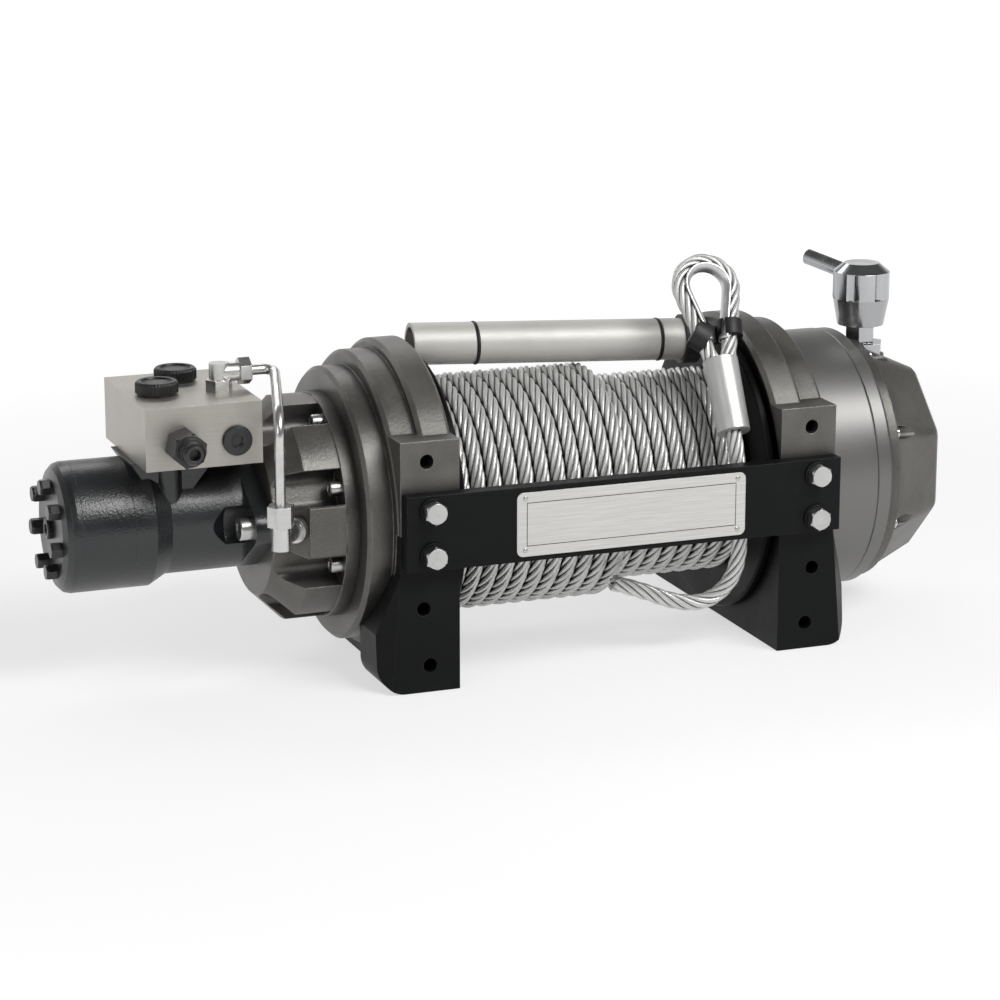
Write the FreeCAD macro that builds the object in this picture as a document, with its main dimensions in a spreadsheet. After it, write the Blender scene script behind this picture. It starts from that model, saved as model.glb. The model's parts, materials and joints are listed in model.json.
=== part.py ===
import FreeCAD, Part

import math
import os
import re

import Sketcher

# Hydraulic winch. Millimetres, +X along the drum away from the motor, -Y to the front, +Z up.
# The origin lies on the ground under the drum's axis, half way between the supports.

os.makedirs("parts", exist_ok=True)
doc = FreeCAD.newDocument("hydraulic_winch")
sheet = doc.addObject("Spreadsheet::Sheet", "sizes")
Vec = FreeCAD.Vector
MADE = []

# Every driving dimension: its alias in the sheet, its value and what it is
SIZES = [
    # Drum and its place
    ("drum_inside", 252, "between the drum flanges"),
    ("barrel_radius", 54, "bare barrel"),
    ("winding_radius", 94, "outside of the wound rope"),
    ("flange_rise", 21, "drum flanges above the wound rope"),
    ("layer_step", 11, "outer layer of rope down to the layer under it"),
    ("layer_share", 0.58, "share of the drum under the outer layer"),
    ("flange_thickness", 7, "drum flanges"),
    ("journal_radius", 40, "drum journals"),
    ("journal_length", 34, "drum journals beyond the flanges"),
    ("journal_gap", 0.05, "running clearance round a journal"),
    ("rope_diameter", 13, "wire rope"),
    ("winding_gap", 0.3, "wound rope to a drum flange"),
    # Supports
    ("flange_gap", 1, "a drum flange's outer face to its support's drum face, along the drum"),
    ("recess_gap", 6, "round a drum flange in its support's recess"),
    ("recess_wall", 5, "rim round a support's recess"),
    ("ring_b_step", 7.5, "first step of a support down to the second"),
    ("ring_a_width", 26, "first step of a support"),
    ("ring_b_width", 22, "second step of a support"),
    ("ring_c_step", 11.5, "second step of the left support down to the third"),
    ("ring_c_width", 20, "third step of the left support"),
    ("rim_chamfer", 3, "rims of the steps"),
    ("recess_depth", 7, "recess that takes a drum flange"),
    ("saddle_step", 6.5, "second step down to a support's lower half, in its foot"),
    ("saddle_floor", 12, "under a support's lower half, in its foot"),
    ("pad_width", 47, "front pads of the supports"),
    ("pad_reach", 26, "front pads ahead of the wound rope"),
    ("pad_rise", 72.5, "top of the front pads above the axis"),
    ("pad_hole_radius", 5.5, "holes in the front pads"),
    ("pad_hole_inset", 26, "upper pad holes from the support's drum face"),
    ("pad_hole_rise", 56.6, "upper pad holes above the axis"),
    ("pad_hole_depth", 30, "holes in the front pads"),
    # Feet
    ("foot_thickness", 51, "front plate of a foot"),
    ("foot_width", 63, "front plate of a foot at its bottom"),
    ("foot_shoulder_drop", 30, "the outer edge's slope starts this far below the axis"),
    ("foot_flare_height", 45, "the slope's lower end above the ground"),
    ("foot_corner", 19, "round lower corner of a foot"),
    ("foot_bevel_top", 16, "bevel of a foot's outer front edge, along the drum, at the slope's top"),
    ("foot_bevel_base", 8, "the same bevel at the ground"),
    ("foot_bevel_slant", 1.19, "the bevel's depth for each unit along the drum"),
    ("foot_hole_depth", 20, "holes in the front of a foot"),
    ("foot_web_width", 41, "foot's web along the drum"),
    ("base_hole_radius", 7, "tapped holes under the feet"),
    ("base_hole_depth", 23, "tapped holes under the feet"),
    ("base_hole_offset", 60, "tapped holes under the feet, ahead of and behind the axis"),
    ("foot_hole_upper_inset", 29, "foot's upper hole from the support's drum face"),
    ("foot_hole_upper_z", 66, "foot's upper hole above the ground"),
    ("foot_hole_lower_inset", 24, "foot's lower hole from the support's drum face"),
    ("foot_hole_lower_z", 21, "foot's lower hole above the ground"),
    # Tie plate and nameplate
    ("plate_inset", 1, "tie plate's ends inside the pads' outer edges"),
    ("plate_drop", 25.2, "tie plate's lower edge below the axis"),
    ("plate_height", 58.2, "tie plate"),
    ("plate_thickness", 12, "tie plate"),
    ("bolt_inset", 25.5, "plate bolts from the support's drum face"),
    ("bolt_upper_rise", 21.2, "upper plate bolts above the axis"),
    ("bolt_lower_rise", -13.5, "lower plate bolts above the axis"),
    ("bolt_shank_radius", 6, "plate bolts"),
    ("bolt_head_radius", 9.4, "across the corners of a plate bolt, halved"),
    ("bolt_head_height", 8, "plate bolts"),
    ("bolt_reach", 24, "plate bolts behind the plate"),
    ("washer_radius", 10.5, "plate bolts' washers"),
    ("washer_thickness", 2, "plate bolts' washers"),
    ("nameplate_shift", 2.5, "nameplate's middle beyond the drum's middle"),
    ("nameplate_length", 190, "nameplate"),
    ("nameplate_height", 50, "nameplate"),
    ("nameplate_thickness", 1.2, "nameplate"),
    ("nameplate_round", 5, "nameplate's corners"),
    # Brake bell
    ("bell_flange_width", 11, "bell's flange"),
    ("bell_step", 18.5, "third step of the left support down to the bell"),
    ("bell_lobe_step", 1, "bell's flange down to the lobes between its screws"),
    ("bell_taper", 22.5, "bell's flange down to its nose"),
    ("bell_shoulder", 40, "bell's seat to where its nose begins"),
    ("bell_length", 62, "bell's seat to the motor"),
    ("bell_screw_inset", 10.1, "bell screws from the flange's rim"),
    ("bell_pocket_width", 28, "pockets round the bell screws, across"),
    ("bell_pocket_floor", 12, "pockets' floors under the screws' axes"),
    ("bell_pocket_round", 8, "pockets' corners"),
    ("bell_screw_count", 8, "bell screws"),
    ("bell_screw_head", 6, "bell screws' heads, radius"),
    ("bell_screw_height", 9, "bell screws' heads"),
    ("bell_boss_width", 29, "flat boss on the bell's front"),
    ("bell_boss_height", 38, "flat boss on the bell's front"),
    ("bell_boss_inset", 11, "flat boss, from the bell's seat"),
    ("bell_boss_rise", 0.7, "middle of the flat boss above the axis"),
    ("bell_boss_cut", 0.5, "flat boss's face inside the flange's rim, ahead of the axis"),
    # Gearbox
    ("gear_length", 46, "gear housing"),
    ("gear_step", 12.5, "second step of the right support down to the gear housing"),
    ("ring_gear_lip", -0.5, "ring gear proud of the gear housing"),
    ("ring_gear_width", 14, "ring gear"),
    ("cover_length", 56, "end cover"),
    ("cover_flange_width", 8, "flange of the end cover"),
    ("cover_step", 11, "ring gear's rim down to the end cover's flats"),
    ("cover_rim", 4, "ring gear's rim down to the end cover's flange"),
    ("cover_taper", 19.5, "end cover's flats from the flange to the outer face"),
    ("cover_corner", 24, "round corners of the end cover at its flange"),
    ("cover_nose_corner", 13, "round corners of the end cover at its outer face"),
    ("cover_edge", 2.5, "bevel round the end cover's outer face"),
    ("cover_screw_inset", 8.5, "cover screws from the ring gear's rim"),
    ("cover_screw_count", 8, "cover screws"),
    ("cover_screw_head", 4.5, "cover screws' heads, radius"),
    ("cover_screw_height", 2.5, "cover screws' heads"),
    # Clutch handle
    ("clutch_inset", 20, "clutch stem from the ring gear's outer face"),
    ("clutch_boss_radius", 20, "hexagon on the end cover"),
    ("clutch_boss_height", 10, "hexagon on the end cover"),
    ("clutch_nut_radius", 12.8, "upper hexagon, over the corners, halved"),
    ("clutch_seat_drop", 10.5, "flat seat of the hexagon below the cover's flats at the flange"),
    ("clutch_stem_radius", 9, "clutch stem"),
    ("clutch_stem_show", 15, "stem between the hexagon and the knob"),
    ("clutch_knob_radius", 23.2, "clutch knob"),
    ("clutch_knob_height", 51, "clutch knob"),
    ("clutch_knob_foot", 19, "clutch knob at its bottom"),
    ("clutch_knob_top", 14.5, "clutch knob's flat top"),
    ("clutch_knob_flare", 22, "height over which the knob widens"),
    ("clutch_knob_bevel", 7, "bevel round the knob's top"),
    ("clutch_flute_count", 6, "flutes of the knob"),
    ("clutch_flute_radius", 9, "flutes of the knob"),
    ("clutch_flute_cut", 2.5, "depth of the flutes"),
    ("clutch_flute_turn", 46, "a flute's bearing from +X"),
    ("clutch_knob_clear", 1, "between the upper hexagon and the knob, and between the stem and the lever"),
    ("clutch_bore_share", 0.7, "depth of the knob's bore, of its height"),
    ("clutch_lever_share", 0.75, "lever's place up the knob"),
    ("clutch_lever_climb", 0.15, "lever's rise for each unit outward"),
    ("clutch_lever_radius", 6.5, "clutch lever"),
    ("clutch_lever_length", 51, "clutch lever from the stem's axis"),
    ("clutch_lever_turn", 110, "clutch lever's bearing from +X"),
    ("clutch_gap", 0.05, "running clearance in the knob"),
    # Motor
    ("motor_body_radius", 42.7, "motor housing"),
    ("motor_neck", 72, "mounting face to where the housing widens"),
    ("motor_cone", 14, "length of the widening"),
    ("motor_wide_radius", 50.4, "gear set and end cover"),
    ("motor_shoulder", 16, "housing at its widest, up to the gear set"),
    ("motor_set_width", 40, "gear set"),
    ("motor_cap_width", 14, "end cover"),
    ("motor_cap_bevel", 10, "end cover's rounded rim, along the drum"),
    ("motor_face_drop", 11.4, "end cover's rounded rim, from its outside in to its face"),
    ("motor_flange_thickness", 14, "mounting flange"),
    ("motor_flange_reach", 53, "flange screws from the axis"),
    ("motor_ear_radius", 15, "ears of the mounting flange"),
    ("motor_pocket_radius", 19.5, "hollows beside the flange screws"),
    ("motor_pocket_length", 16, "hollows beside the flange screws"),
    ("motor_pocket_end", 12, "length of the hollows' tapered ends"),
    ("motor_pocket_tip", 9, "hollows at their ends"),
    ("motor_screw_head", 9, "flange screws' heads, radius"),
    ("motor_screw_height", 10, "flange screws' heads"),
    ("motor_bolt_circle", 33, "end bolts from the axis"),
    ("motor_bolt_count", 7, "end bolts"),
    ("motor_bolt_radius", 6.5, "end bolts' heads, over the corners, halved"),
    ("motor_bolt_height", 8.5, "end bolts' heads"),
    ("motor_plug_radius", 8, "plug in the middle of the end cover"),
    # Valve block
    ("block_length", 90.6, "valve block"),
    ("block_front", 60, "valve block ahead of the axis"),
    ("block_depth", 121, "valve block"),
    ("block_rise", 52, "valve block's underside above the axis"),
    ("block_height", 48, "valve block"),
    ("port_inset", 50.7, "port boss from the motor's mounting face"),
    ("port_offset", 19.5, "port boss's middle from the valve block's, outward"),
    ("port_low", 12, "foot of the port boss above the axis"),
    ("port_foot", 4, "port boss at its foot, along the drum, halved"),
    ("port_outer", 30, "port boss under the block, outward from its middle"),
    ("port_inner", 36, "port boss under the block, inward from its middle"),
    ("port_post_radius", 9.5, "round posts on the port boss's faces"),
    ("port_post_inset", 3, "posts' axes inside the port boss's faces"),
    ("port_depth", 62, "port boss across"),
    ("supply_offset", 17.3, "front fitting from the port boss, outward"),
    ("supply_rise", 19, "front fitting above the block's underside"),
    ("supply_hex_radius", 14, "front fitting's hexagon, over the corners, halved"),
    ("supply_hex_length", 24, "front fitting's hexagon"),
    ("supply_nipple_radius", 8.5, "front fitting's nipple"),
    ("supply_nipple_length", 12, "front fitting's nipple"),
    ("block_plug_offset", 25.2, "front plug from the port boss, inward"),
    ("block_plug_rise", 19, "front plug above the block's underside"),
    ("block_plug_radius", 11.5, "front plug"),
    ("block_plug_height", 3, "front plug"),
    ("cap_radius", 16.5, "black caps on the block"),
    ("cap_height", 11, "black caps on the block"),
    ("cap_offset", 10, "middle of the caps from the port boss, outward"),
    ("cap_middle", 9, "middle of the caps behind the axis"),
    ("cap_step_x", 13, "half the distance between the caps, along the drum"),
    ("cap_step_y", 21, "half the distance between the caps, across"),
    # Brake line
    ("elbow_offset", 24.7, "elbow from the port boss, inward"),
    ("elbow_front", 16, "elbow ahead of the axis"),
    ("elbow_height", 14, "elbow's outlet above the block"),
    ("elbow_reach", 24, "elbow's outlet from its stem"),
    ("elbow_radius", 7.5, "elbow's tube"),
    ("elbow_hex_radius", 10.5, "elbow's hexagons, over the corners, halved"),
    ("elbow_hex_height", 9, "elbow's hexagons"),
    ("banjo_rise", 27.5, "lower fitting's mouth above the axis"),
    ("banjo_drop", 6.7, "lower fitting below the axis"),
    ("banjo_nut_length", 16, "lower fitting's nut"),
    ("banjo_height", 3.3, "lower fitting's bolt above the axis"),
    ("banjo_washer", 5, "lower fitting's washer"),
    ("banjo_clear", 0.3, "lower fitting clear of the bell's slope"),
    ("banjo_radius", 10, "lower fitting's bolt and washer"),
    ("pipe_radius", 4, "brake pipe"),
    ("pipe_bend", 20, "brake pipe's bends"),
    ("pipe_inset", 66, "brake pipe's drop from the bell's seat"),
    ("pipe_standoff", 10, "brake pipe ahead of the bell's boss"),
    # Tube over the drum
    ("tube_radius", 16.75, "tube over the drum"),
    ("tube_wall", 3.5, "tube over the drum"),
    ("tube_left_short", 2.3, "tube short of the left drum flange"),
    ("tube_right_short", 16.3, "tube short of the right drum flange"),
    ("tube_left_turn", 99.75, "left end of the tube, bearing round the drum's axis from the front"),
    ("tube_left_lift", 7.6, "left end of the tube above the outer layer of rope"),
    ("tube_right_turn", 90, "right end of the tube, bearing round the drum's axis from the front"),
    ("tube_right_lift", 7.8, "right end of the tube above the lower layer of rope"),
    ("tube_left_groove", 50.2, "left groove round the tube from its end"),
    ("tube_right_groove", 31, "right groove round the tube from its end"),
    ("tube_groove_width", 3, "grooves round the tube"),
    ("tube_groove_depth", 0.8, "grooves round the tube"),
    # Rope end
    ("thimble_inset", 8.2, "thimble's groove inside the rope of the eye"),
    ("thimble_start", 14, "thimble's tips above the ferrule"),
    ("strap_width", 13, "rubber strap"),
    ("strap_wall", 3, "rubber strap"),
    ("strap_left_rise", 22, "strap's middle on the left leg above the ferrule"),
    ("strap_left_slant", -38, "strap's slant from square on the left leg"),
    ("strap_right_rise", 26, "strap's middle on the right leg above the ferrule"),
    ("strap_right_slant", -7, "strap's slant from square on the right leg"),
    ("ferrule_radius", 13, "swaged ferrule"),
    ("ferrule_length", 60, "swaged ferrule"),
    ("ferrule_top_radius", 14, "swaged ferrule at the eye"),
    ("ferrule_inset", 25.2, "ferrule's lower end from the right drum flange"),
    ("ferrule_lift", 9.1, "ferrule's lower end above the wound rope"),
    ("ferrule_turn", 27.45, "ferrule's lower end, bearing round the drum's axis from the front"),
    ("crown_inset", 19.9, "eye's crown from the right drum flange"),
    ("crown_lift", 80.7, "eye's crown above the wound rope"),
    ("crown_turn", 81.5, "eye's crown, bearing round the drum's axis from the front"),
    ("ferrule_socket", 14, "depth of the rope in the ferrule's lower end"),
    ("ferrule_socket_gap", 0.05, "round the rope in the ferrule's lower end"),
    ("tail_start", 15.4, "rope straight below the ferrule"),
    ("thimble_half", 7.9, "thimble across the plane of the eye, halved"),
    ("thimble_deep", 8, "thimble's flanges over the rope"),
    ("eye_radius", 22, "rope eye, at the rope's middle"),
    ("eye_length", 84.5, "rope eye, ferrule to its crown"),
]
# Sizes and places that follow from others, as formulas in the same sheet
DERIVED = [
    ("flange_radius", "winding_radius + flange_rise"),
    ("recess_radius", "flange_radius + recess_gap"),
    ("ring_a_radius", "recess_radius + recess_wall"),
    ("ring_b_radius", "ring_a_radius - ring_b_step"),
    ("ring_c_radius", "ring_b_radius - ring_c_step"),
    ("saddle_radius", "ring_b_radius - saddle_step"),
    ("axis_height", "saddle_radius + saddle_floor"),
    ("pad_front", "winding_radius + pad_reach"),
    ("bell_flange_radius", "ring_c_radius - bell_step"),
    ("bell_lobe_radius", "bell_flange_radius - bell_lobe_step"),
    ("bell_boss_front", "bell_flange_radius - bell_boss_cut"),
    ("bell_screw_circle", "bell_flange_radius - bell_screw_inset"),
    ("bell_nose_radius", "bell_flange_radius - bell_taper"),
    ("gear_radius", "ring_b_radius - gear_step"),
    ("ring_gear_radius", "gear_radius + ring_gear_lip"),
    ("cover_base_radius", "ring_gear_radius - cover_step"),
    ("cover_nose_radius", "cover_base_radius - cover_taper"),
    ("cover_screw_circle", "ring_gear_radius - cover_screw_inset"),
    ("clutch_seat_rise", "cover_base_radius - clutch_seat_drop"),
    ("pipe_front", "bell_boss_front + pipe_standoff"),
    ("bell_slope", "(bell_lobe_radius - bell_nose_radius) / (bell_length - bell_shoulder)"),
    ("banjo_step", "(pipe_front - bell_nose_radius - bell_slope * (bell_length - pipe_inset))"
                   " / (1 + bell_slope) - banjo_clear"),
]
ROWS = [(alias, str(value), note) for alias, value, note in SIZES]
ROWS += [(alias, "=" + formula, "follows from others") for alias, formula in DERIVED]
for row, (alias, value, note) in enumerate(ROWS, 1):
    sheet.set("A%d" % row, note)
    sheet.set("B%d" % row, value)
    sheet.setAlias("B%d" % row, alias)
doc.recompute()


# Places that follow from the sizes, outward from the middle of the drum and up from the ground
DRUM_END = "(drum_inside / 2 + flange_thickness)"
FACE = "(drum_inside / 2 + flange_thickness + flange_gap)"
A_END = "(%s + ring_a_width)" % FACE
B_END = "(%s + ring_a_width + ring_b_width)" % FACE
BELL_SEAT = "(%s + ring_c_width)" % B_END
MOTOR_SEAT = "(%s + bell_length)" % BELL_SEAT
CONE = "(%s + motor_neck)" % MOTOR_SEAT
WIDE = "(%s + motor_cone)" % CONE
SET_SEAM = "(%s + motor_shoulder)" % WIDE
CAP_SEAM = "(%s + motor_set_width)" % SET_SEAM
MOTOR_END = "(%s + motor_cap_width)" % CAP_SEAM
BLOCK_X = "(%s + port_inset)" % MOTOR_SEAT
PORT_X = "(%s + port_offset)" % BLOCK_X
PIPE_X = "(%s + pipe_inset)" % BELL_SEAT
GEAR_SEAM = "(%s + gear_length)" % B_END
RING_END = "(%s + ring_gear_width)" % GEAR_SEAM
COVER_END = "(%s + cover_length)" % RING_END
CLUTCH_X = "(%s + clutch_inset)" % RING_END
TUBE_LEFT = "(winding_radius + tube_radius + tube_left_lift)"
TUBE_RIGHT = "(winding_radius - layer_step + tube_radius + tube_right_lift)"
BOLT_X = "(%s + bolt_inset)" % FACE
PLATE_END = "(%s + pad_width - plate_inset)" % FACE
PLATE_FRONT = "(-pad_front - plate_thickness)"
PLATE_BOTTOM = "(axis_height - plate_drop)"
BLOCK_BOTTOM = "(axis_height + block_rise)"
BLOCK_TOP = "(axis_height + block_rise + block_height)"
CLUTCH_SEAT = "(axis_height + clutch_seat_rise)"
KNOB_BOTTOM = "(%s + clutch_boss_height + clutch_stem_show)" % CLUTCH_SEAT


def val(alias):
    """A size read from the sheet."""
    return float(sheet.get(alias))


def bound(text):
    """The same expression with each alias looked up in the sheet; names before a bracket are functions."""
    return re.sub(r"\b([a-z][a-z_]*)\b(?!\()", r"sizes.\1", text)


def bind(piece, **texts):
    for name, text in texts.items():
        piece.setExpression(name, bound(text))


def place(piece, corner, rotation=None):
    if rotation is not None:
        piece.Placement = FreeCAD.Placement(Vec(), rotation)
    for axis, text in zip("xyz", corner):
        piece.setExpression("Placement.Base." + axis, bound(text))
    return piece


ALONG = {
    "+Z": FreeCAD.Rotation(),
    "+X": FreeCAD.Rotation(Vec(0, 1, 0), 90),
    "-X": FreeCAD.Rotation(Vec(0, 1, 0), -90),
    "-Y": FreeCAD.Rotation(Vec(1, 0, 0), 90),
    "+Y": FreeCAD.Rotation(Vec(1, 0, 0), -90),
}


def box(name, lengths, corner):
    """A box from its lowest corner."""
    piece = doc.addObject("Part::Box", name)
    bind(piece, Length=lengths[0], Width=lengths[1], Height=lengths[2])
    return place(piece, corner)


def rod(name, radius, length, start, along):
    """A cylinder from the middle of its first face, along one row axis."""
    piece = doc.addObject("Part::Cylinder", name)
    bind(piece, Radius=radius, Height=length)
    return place(piece, start, ALONG[along])


def hexagon(name, radius, length, start, along):
    """A six-sided prism from the middle of its first face."""
    piece = doc.addObject("Part::Prism", name)
    piece.Polygon = 6
    bind(piece, Circumradius=radius, Height=length)
    return place(piece, start, ALONG[along])


def cone(name, radii, length, start, along):
    """A cone or a frustum from the middle of its first face."""
    piece = doc.addObject("Part::Cone", name)
    bind(piece, Radius1=radii[0], Radius2=radii[1], Height=length)
    return place(piece, start, ALONG[along])


def fuse(name, pieces):
    piece = doc.addObject("Part::MultiFuse", name)
    piece.Shapes = pieces
    piece.Refine = True
    return piece


def cut(name, base, tool):
    piece = doc.addObject("Part::Cut", name)
    piece.Base = base
    piece.Tool = tool
    piece.Refine = True
    return piece


def together(name, pieces):
    """Several solids that do not touch, kept in one sub-part."""
    piece = doc.addObject("Part::Compound", name)
    piece.Links = pieces
    return piece


def made(piece, label):
    piece.Label = label
    MADE.append(piece)
    return piece


def origin_plane(body, role):
    return [item for item in body.Origin.OriginFeatures if item.Role == role][0]


def draw(sketch, outline):
    """A closed outline of straight lines, each corner held from the sketch's origin by expressions."""
    corners = [Vec(value_of(over), value_of(up), 0) for over, up in outline]
    for index, corner in enumerate(corners):
        sketch.addGeometry(Part.LineSegment(corner, corners[(index + 1) % len(corners)]), False)
    for index in range(len(corners)):
        sketch.addConstraint(Sketcher.Constraint("Coincident", index, 2, (index + 1) % len(corners), 1))
    for index, (over, up) in enumerate(outline):
        hold(sketch, "DistanceX", index, over, corners[index].x)
        hold(sketch, "DistanceY", index, up, corners[index].y)


def hold(sketch, kind, index, text, value):
    """Tie one coordinate of a corner to an expression, or to an axis of the sketch where it is nought."""
    if text == "0":
        line = -2 if kind == "DistanceX" else -1
        sketch.addConstraint(Sketcher.Constraint("PointOnObject", index, 1, line))
        return
    number = sketch.addConstraint(Sketcher.Constraint(kind, -1, 1, index, 1, value))
    sketch.setExpression("Constraints[%d]" % number, bound(text))


def turned(name, outline, hand="1"):
    """A body turned about the drum's axis. The outline is a closed list of (x, radius) expressions."""
    body = doc.addObject("PartDesign::Body", name)
    sketch = body.newObject("Sketcher::SketchObject", name + "_outline")
    sketch.AttachmentSupport = [(origin_plane(body, "XZ_Plane"), "")]
    sketch.MapMode = "FlatFace"
    draw(sketch, [("%s * (%s)" % (hand, x), radius) for x, radius in outline])
    turn = body.newObject("PartDesign::Revolution", name + "_turn")
    turn.Profile = sketch
    turn.ReferenceAxis = (sketch, ["H_Axis"])
    turn.Angle = 360
    bind(body, **{"Placement.Base.z": "axis_height"})
    return body


def value_of(text):
    """The number that an expression in aliases comes to. Angles in it are in degrees."""
    return float(sheet.evalExpression(text))


def point(x, y, z):
    return Vec(value_of(x), value_of(y), value_of(z))


def route(points, share=0.45, bend=None):
    """A wire of straight runs and tangent arcs through the points. Returns it and its radii."""
    edges, radii = [], []
    start = points[0]
    for before, corner, after in zip(points, points[1:], points[2:]):
        back = (before - corner).normalize()
        ahead = (after - corner).normalize()
        half = (math.pi - back.getAngle(ahead)) / 2
        shorter = min(before.distanceToPoint(corner), after.distanceToPoint(corner))
        radius = share * shorter / math.tan(half)
        if bend is not None:
            radius = min(radius, bend)
        reach = radius * math.tan(half)
        first, last = corner + back * reach, corner + ahead * reach
        inward = (back + ahead).normalize()
        middle = corner + inward * (radius / math.cos(half) - radius)
        edges.append(Part.LineSegment(start, first).toShape())
        edges.append(Part.Arc(first, middle, last).toShape())
        radii.append(radius)
        start = last
    edges.append(Part.LineSegment(start, points[-1]).toShape())
    return Part.Wire(edges), radii


def swept(name, wire, radius):
    """A round bar along a wire."""
    first = wire.Edges[0]
    start = first.valueAt(first.FirstParameter)
    ahead = first.tangentAt(first.FirstParameter)
    section = Part.Wire([Part.Circle(start, ahead, radius).toShape()])
    piece = doc.addObject("Part::Feature", name)
    piece.Shape = wire.makePipeShell([section], True, False)
    return piece


def winding_shape():
    """Turns of rope side by side, as one ridged solid round the barrel: the outer layer covers the left
    part of the drum and the layer under it the rest."""
    half = val("rope_diameter") / 2
    edge = val("drum_inside") / 2 - val("winding_gap")
    turns = int(2 * edge / val("rope_diameter"))
    pitch = 2 * edge / turns
    outer = val("winding_radius") - half
    lower = outer - val("layer_step")
    edges = []
    here = Vec(-edge, 0, val("barrel_radius"))
    for index in range(turns):
        level = outer if index < turns * val("layer_share") else lower
        middle = Vec(-edge + (index + 0.5) * pitch, 0, level)
        spots = [middle + Vec(-pitch / 2, 0, 0), middle + Vec(-half, 0, 0), middle + Vec(half, 0, 0)]
        for spot in spots[:2]:
            if here.distanceToPoint(spot) > 0.001:
                edges.append(Part.LineSegment(here, spot).toShape())
                here = spot
        edges.append(Part.Arc(here, middle + Vec(0, 0, half), spots[2]).toShape())
        here = spots[2]
    for spot in (Vec(edge, 0, here.z), Vec(edge, 0, val("barrel_radius")), Vec(-edge, 0, val("barrel_radius"))):
        edges.append(Part.LineSegment(here, spot).toShape())
        here = spot
    solid = Part.Face(Part.Wire(edges)).revolve(Vec(), Vec(1, 0, 0), 360)
    solid.Placement = FreeCAD.Placement(point("0", "0", "axis_height"), FreeCAD.Rotation())
    return solid


def make_drum():
    """Barrel with its journals, two flanges and the winding as one solid of its outer shape."""
    inside = "(drum_inside / 2)"
    end = "(%s + journal_length)" % DRUM_END
    made(turned("drum_barrel_body", [
        ("-" + end, "0"),
        ("-" + end, "journal_radius"),
        ("-" + DRUM_END, "journal_radius"),
        ("-" + DRUM_END, "barrel_radius"),
        (DRUM_END, "barrel_radius"),
        (DRUM_END, "journal_radius"),
        (end, "journal_radius"),
        (end, "0"),
    ]), "drum_barrel")
    for label, sign in (("left_drum_flange", "-1"), ("right_drum_flange", "1")):
        made(turned(label + "_body", [
            (inside, "barrel_radius"),
            (inside, "flange_radius - rim_chamfer / 2"),
            (inside + " + rim_chamfer / 2", "flange_radius"),
            (DRUM_END + " - rim_chamfer / 2", "flange_radius"),
            (DRUM_END, "flange_radius - rim_chamfer / 2"),
            (DRUM_END, "barrel_radius"),
        ], sign), label)
    winding = doc.addObject("Part::Feature", "rope_winding_turns")
    winding.Shape = winding_shape()
    made(winding, "rope_winding")


def span(side, start, length):
    """The lowest x of a box that runs outward from start on one side."""
    return start if side > 0 else "-%s - (%s)" % (start, length)


def make_support(side):
    """Stepped housing whose upper half shows as rings, with the front pad that the plate is bolted to."""
    name = "right_support" if side > 0 else "left_support"
    hand = "%d * " % side
    outward = "+X" if side > 0 else "-X"
    steps = [
        (FACE, "0"),
        (FACE, "ring_a_radius - rim_chamfer"),
        (FACE + " + rim_chamfer", "ring_a_radius"),
        (A_END + " - rim_chamfer", "ring_a_radius"),
        (A_END, "ring_a_radius - rim_chamfer"),
        (A_END, "ring_b_radius"),
        (B_END + " - rim_chamfer", "ring_b_radius"),
        (B_END, "ring_b_radius - rim_chamfer"),
    ]
    if side < 0:
        steps += [
            (B_END, "ring_c_radius"),
            (BELL_SEAT + " - rim_chamfer", "ring_c_radius"),
            (BELL_SEAT, "ring_c_radius - rim_chamfer"),
            (BELL_SEAT, "0"),
        ]
    else:
        steps += [(B_END, "0")]
    rings = turned(name + "_rings", steps, str(side))
    pad = box(name + "_pad", ("pad_width", "pad_front", "pad_rise"),
              (span(side, FACE, "pad_width"), "-pad_front", "axis_height"))
    solid = fuse(name + "_solid", [rings, pad])
    widths = "ring_a_width + ring_b_width"
    in_face = rod(name + "_recess", "recess_radius", "recess_depth + pad_width",
                  (hand + FACE + " - %d * pad_width" % side, "0", "axis_height"), outward)
    bore = rod(name + "_bore", "journal_radius + journal_gap", "recess_depth + journal_length",
               (hand + FACE, "0", "axis_height"), outward)
    hole = rod(name + "_hole", "pad_hole_radius", "pad_hole_depth",
               (hand + "(%s + pad_hole_inset)" % FACE, "-pad_front", "axis_height + pad_hole_rise"), "+Y")
    below = box(name + "_below", (widths, "4 * ring_a_radius", "2 * ring_a_radius"),
                (span(side, FACE, widths), "-2 * ring_a_radius", "axis_height - 2 * ring_a_radius"))
    saddle = rod(name + "_saddle", "saddle_radius", widths, (hand + FACE, "0", "axis_height"), outward)
    ahead = box(name + "_ahead", (widths, "ring_a_radius", "4 * ring_a_radius"),
                (span(side, FACE, widths), "-pad_front - ring_a_radius", "-ring_a_radius"))
    tools = [in_face, bore, hole, cut(name + "_around", below, saddle), ahead]
    made(cut(name + "_cut", solid, fuse(name + "_tools", tools + bolt_holes(name, side))), name)


def bolt_holes(name, side):
    """Blind holes that take the plate's two bolts on one side."""
    return [rod("%s_%s_hole" % (name, level), "bolt_shank_radius", "bolt_reach",
                ("%d * %s" % (side, BOLT_X), "-pad_front", "axis_height + bolt_%s_rise" % level), "+Y")
            for level in ("upper", "lower")]


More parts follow.
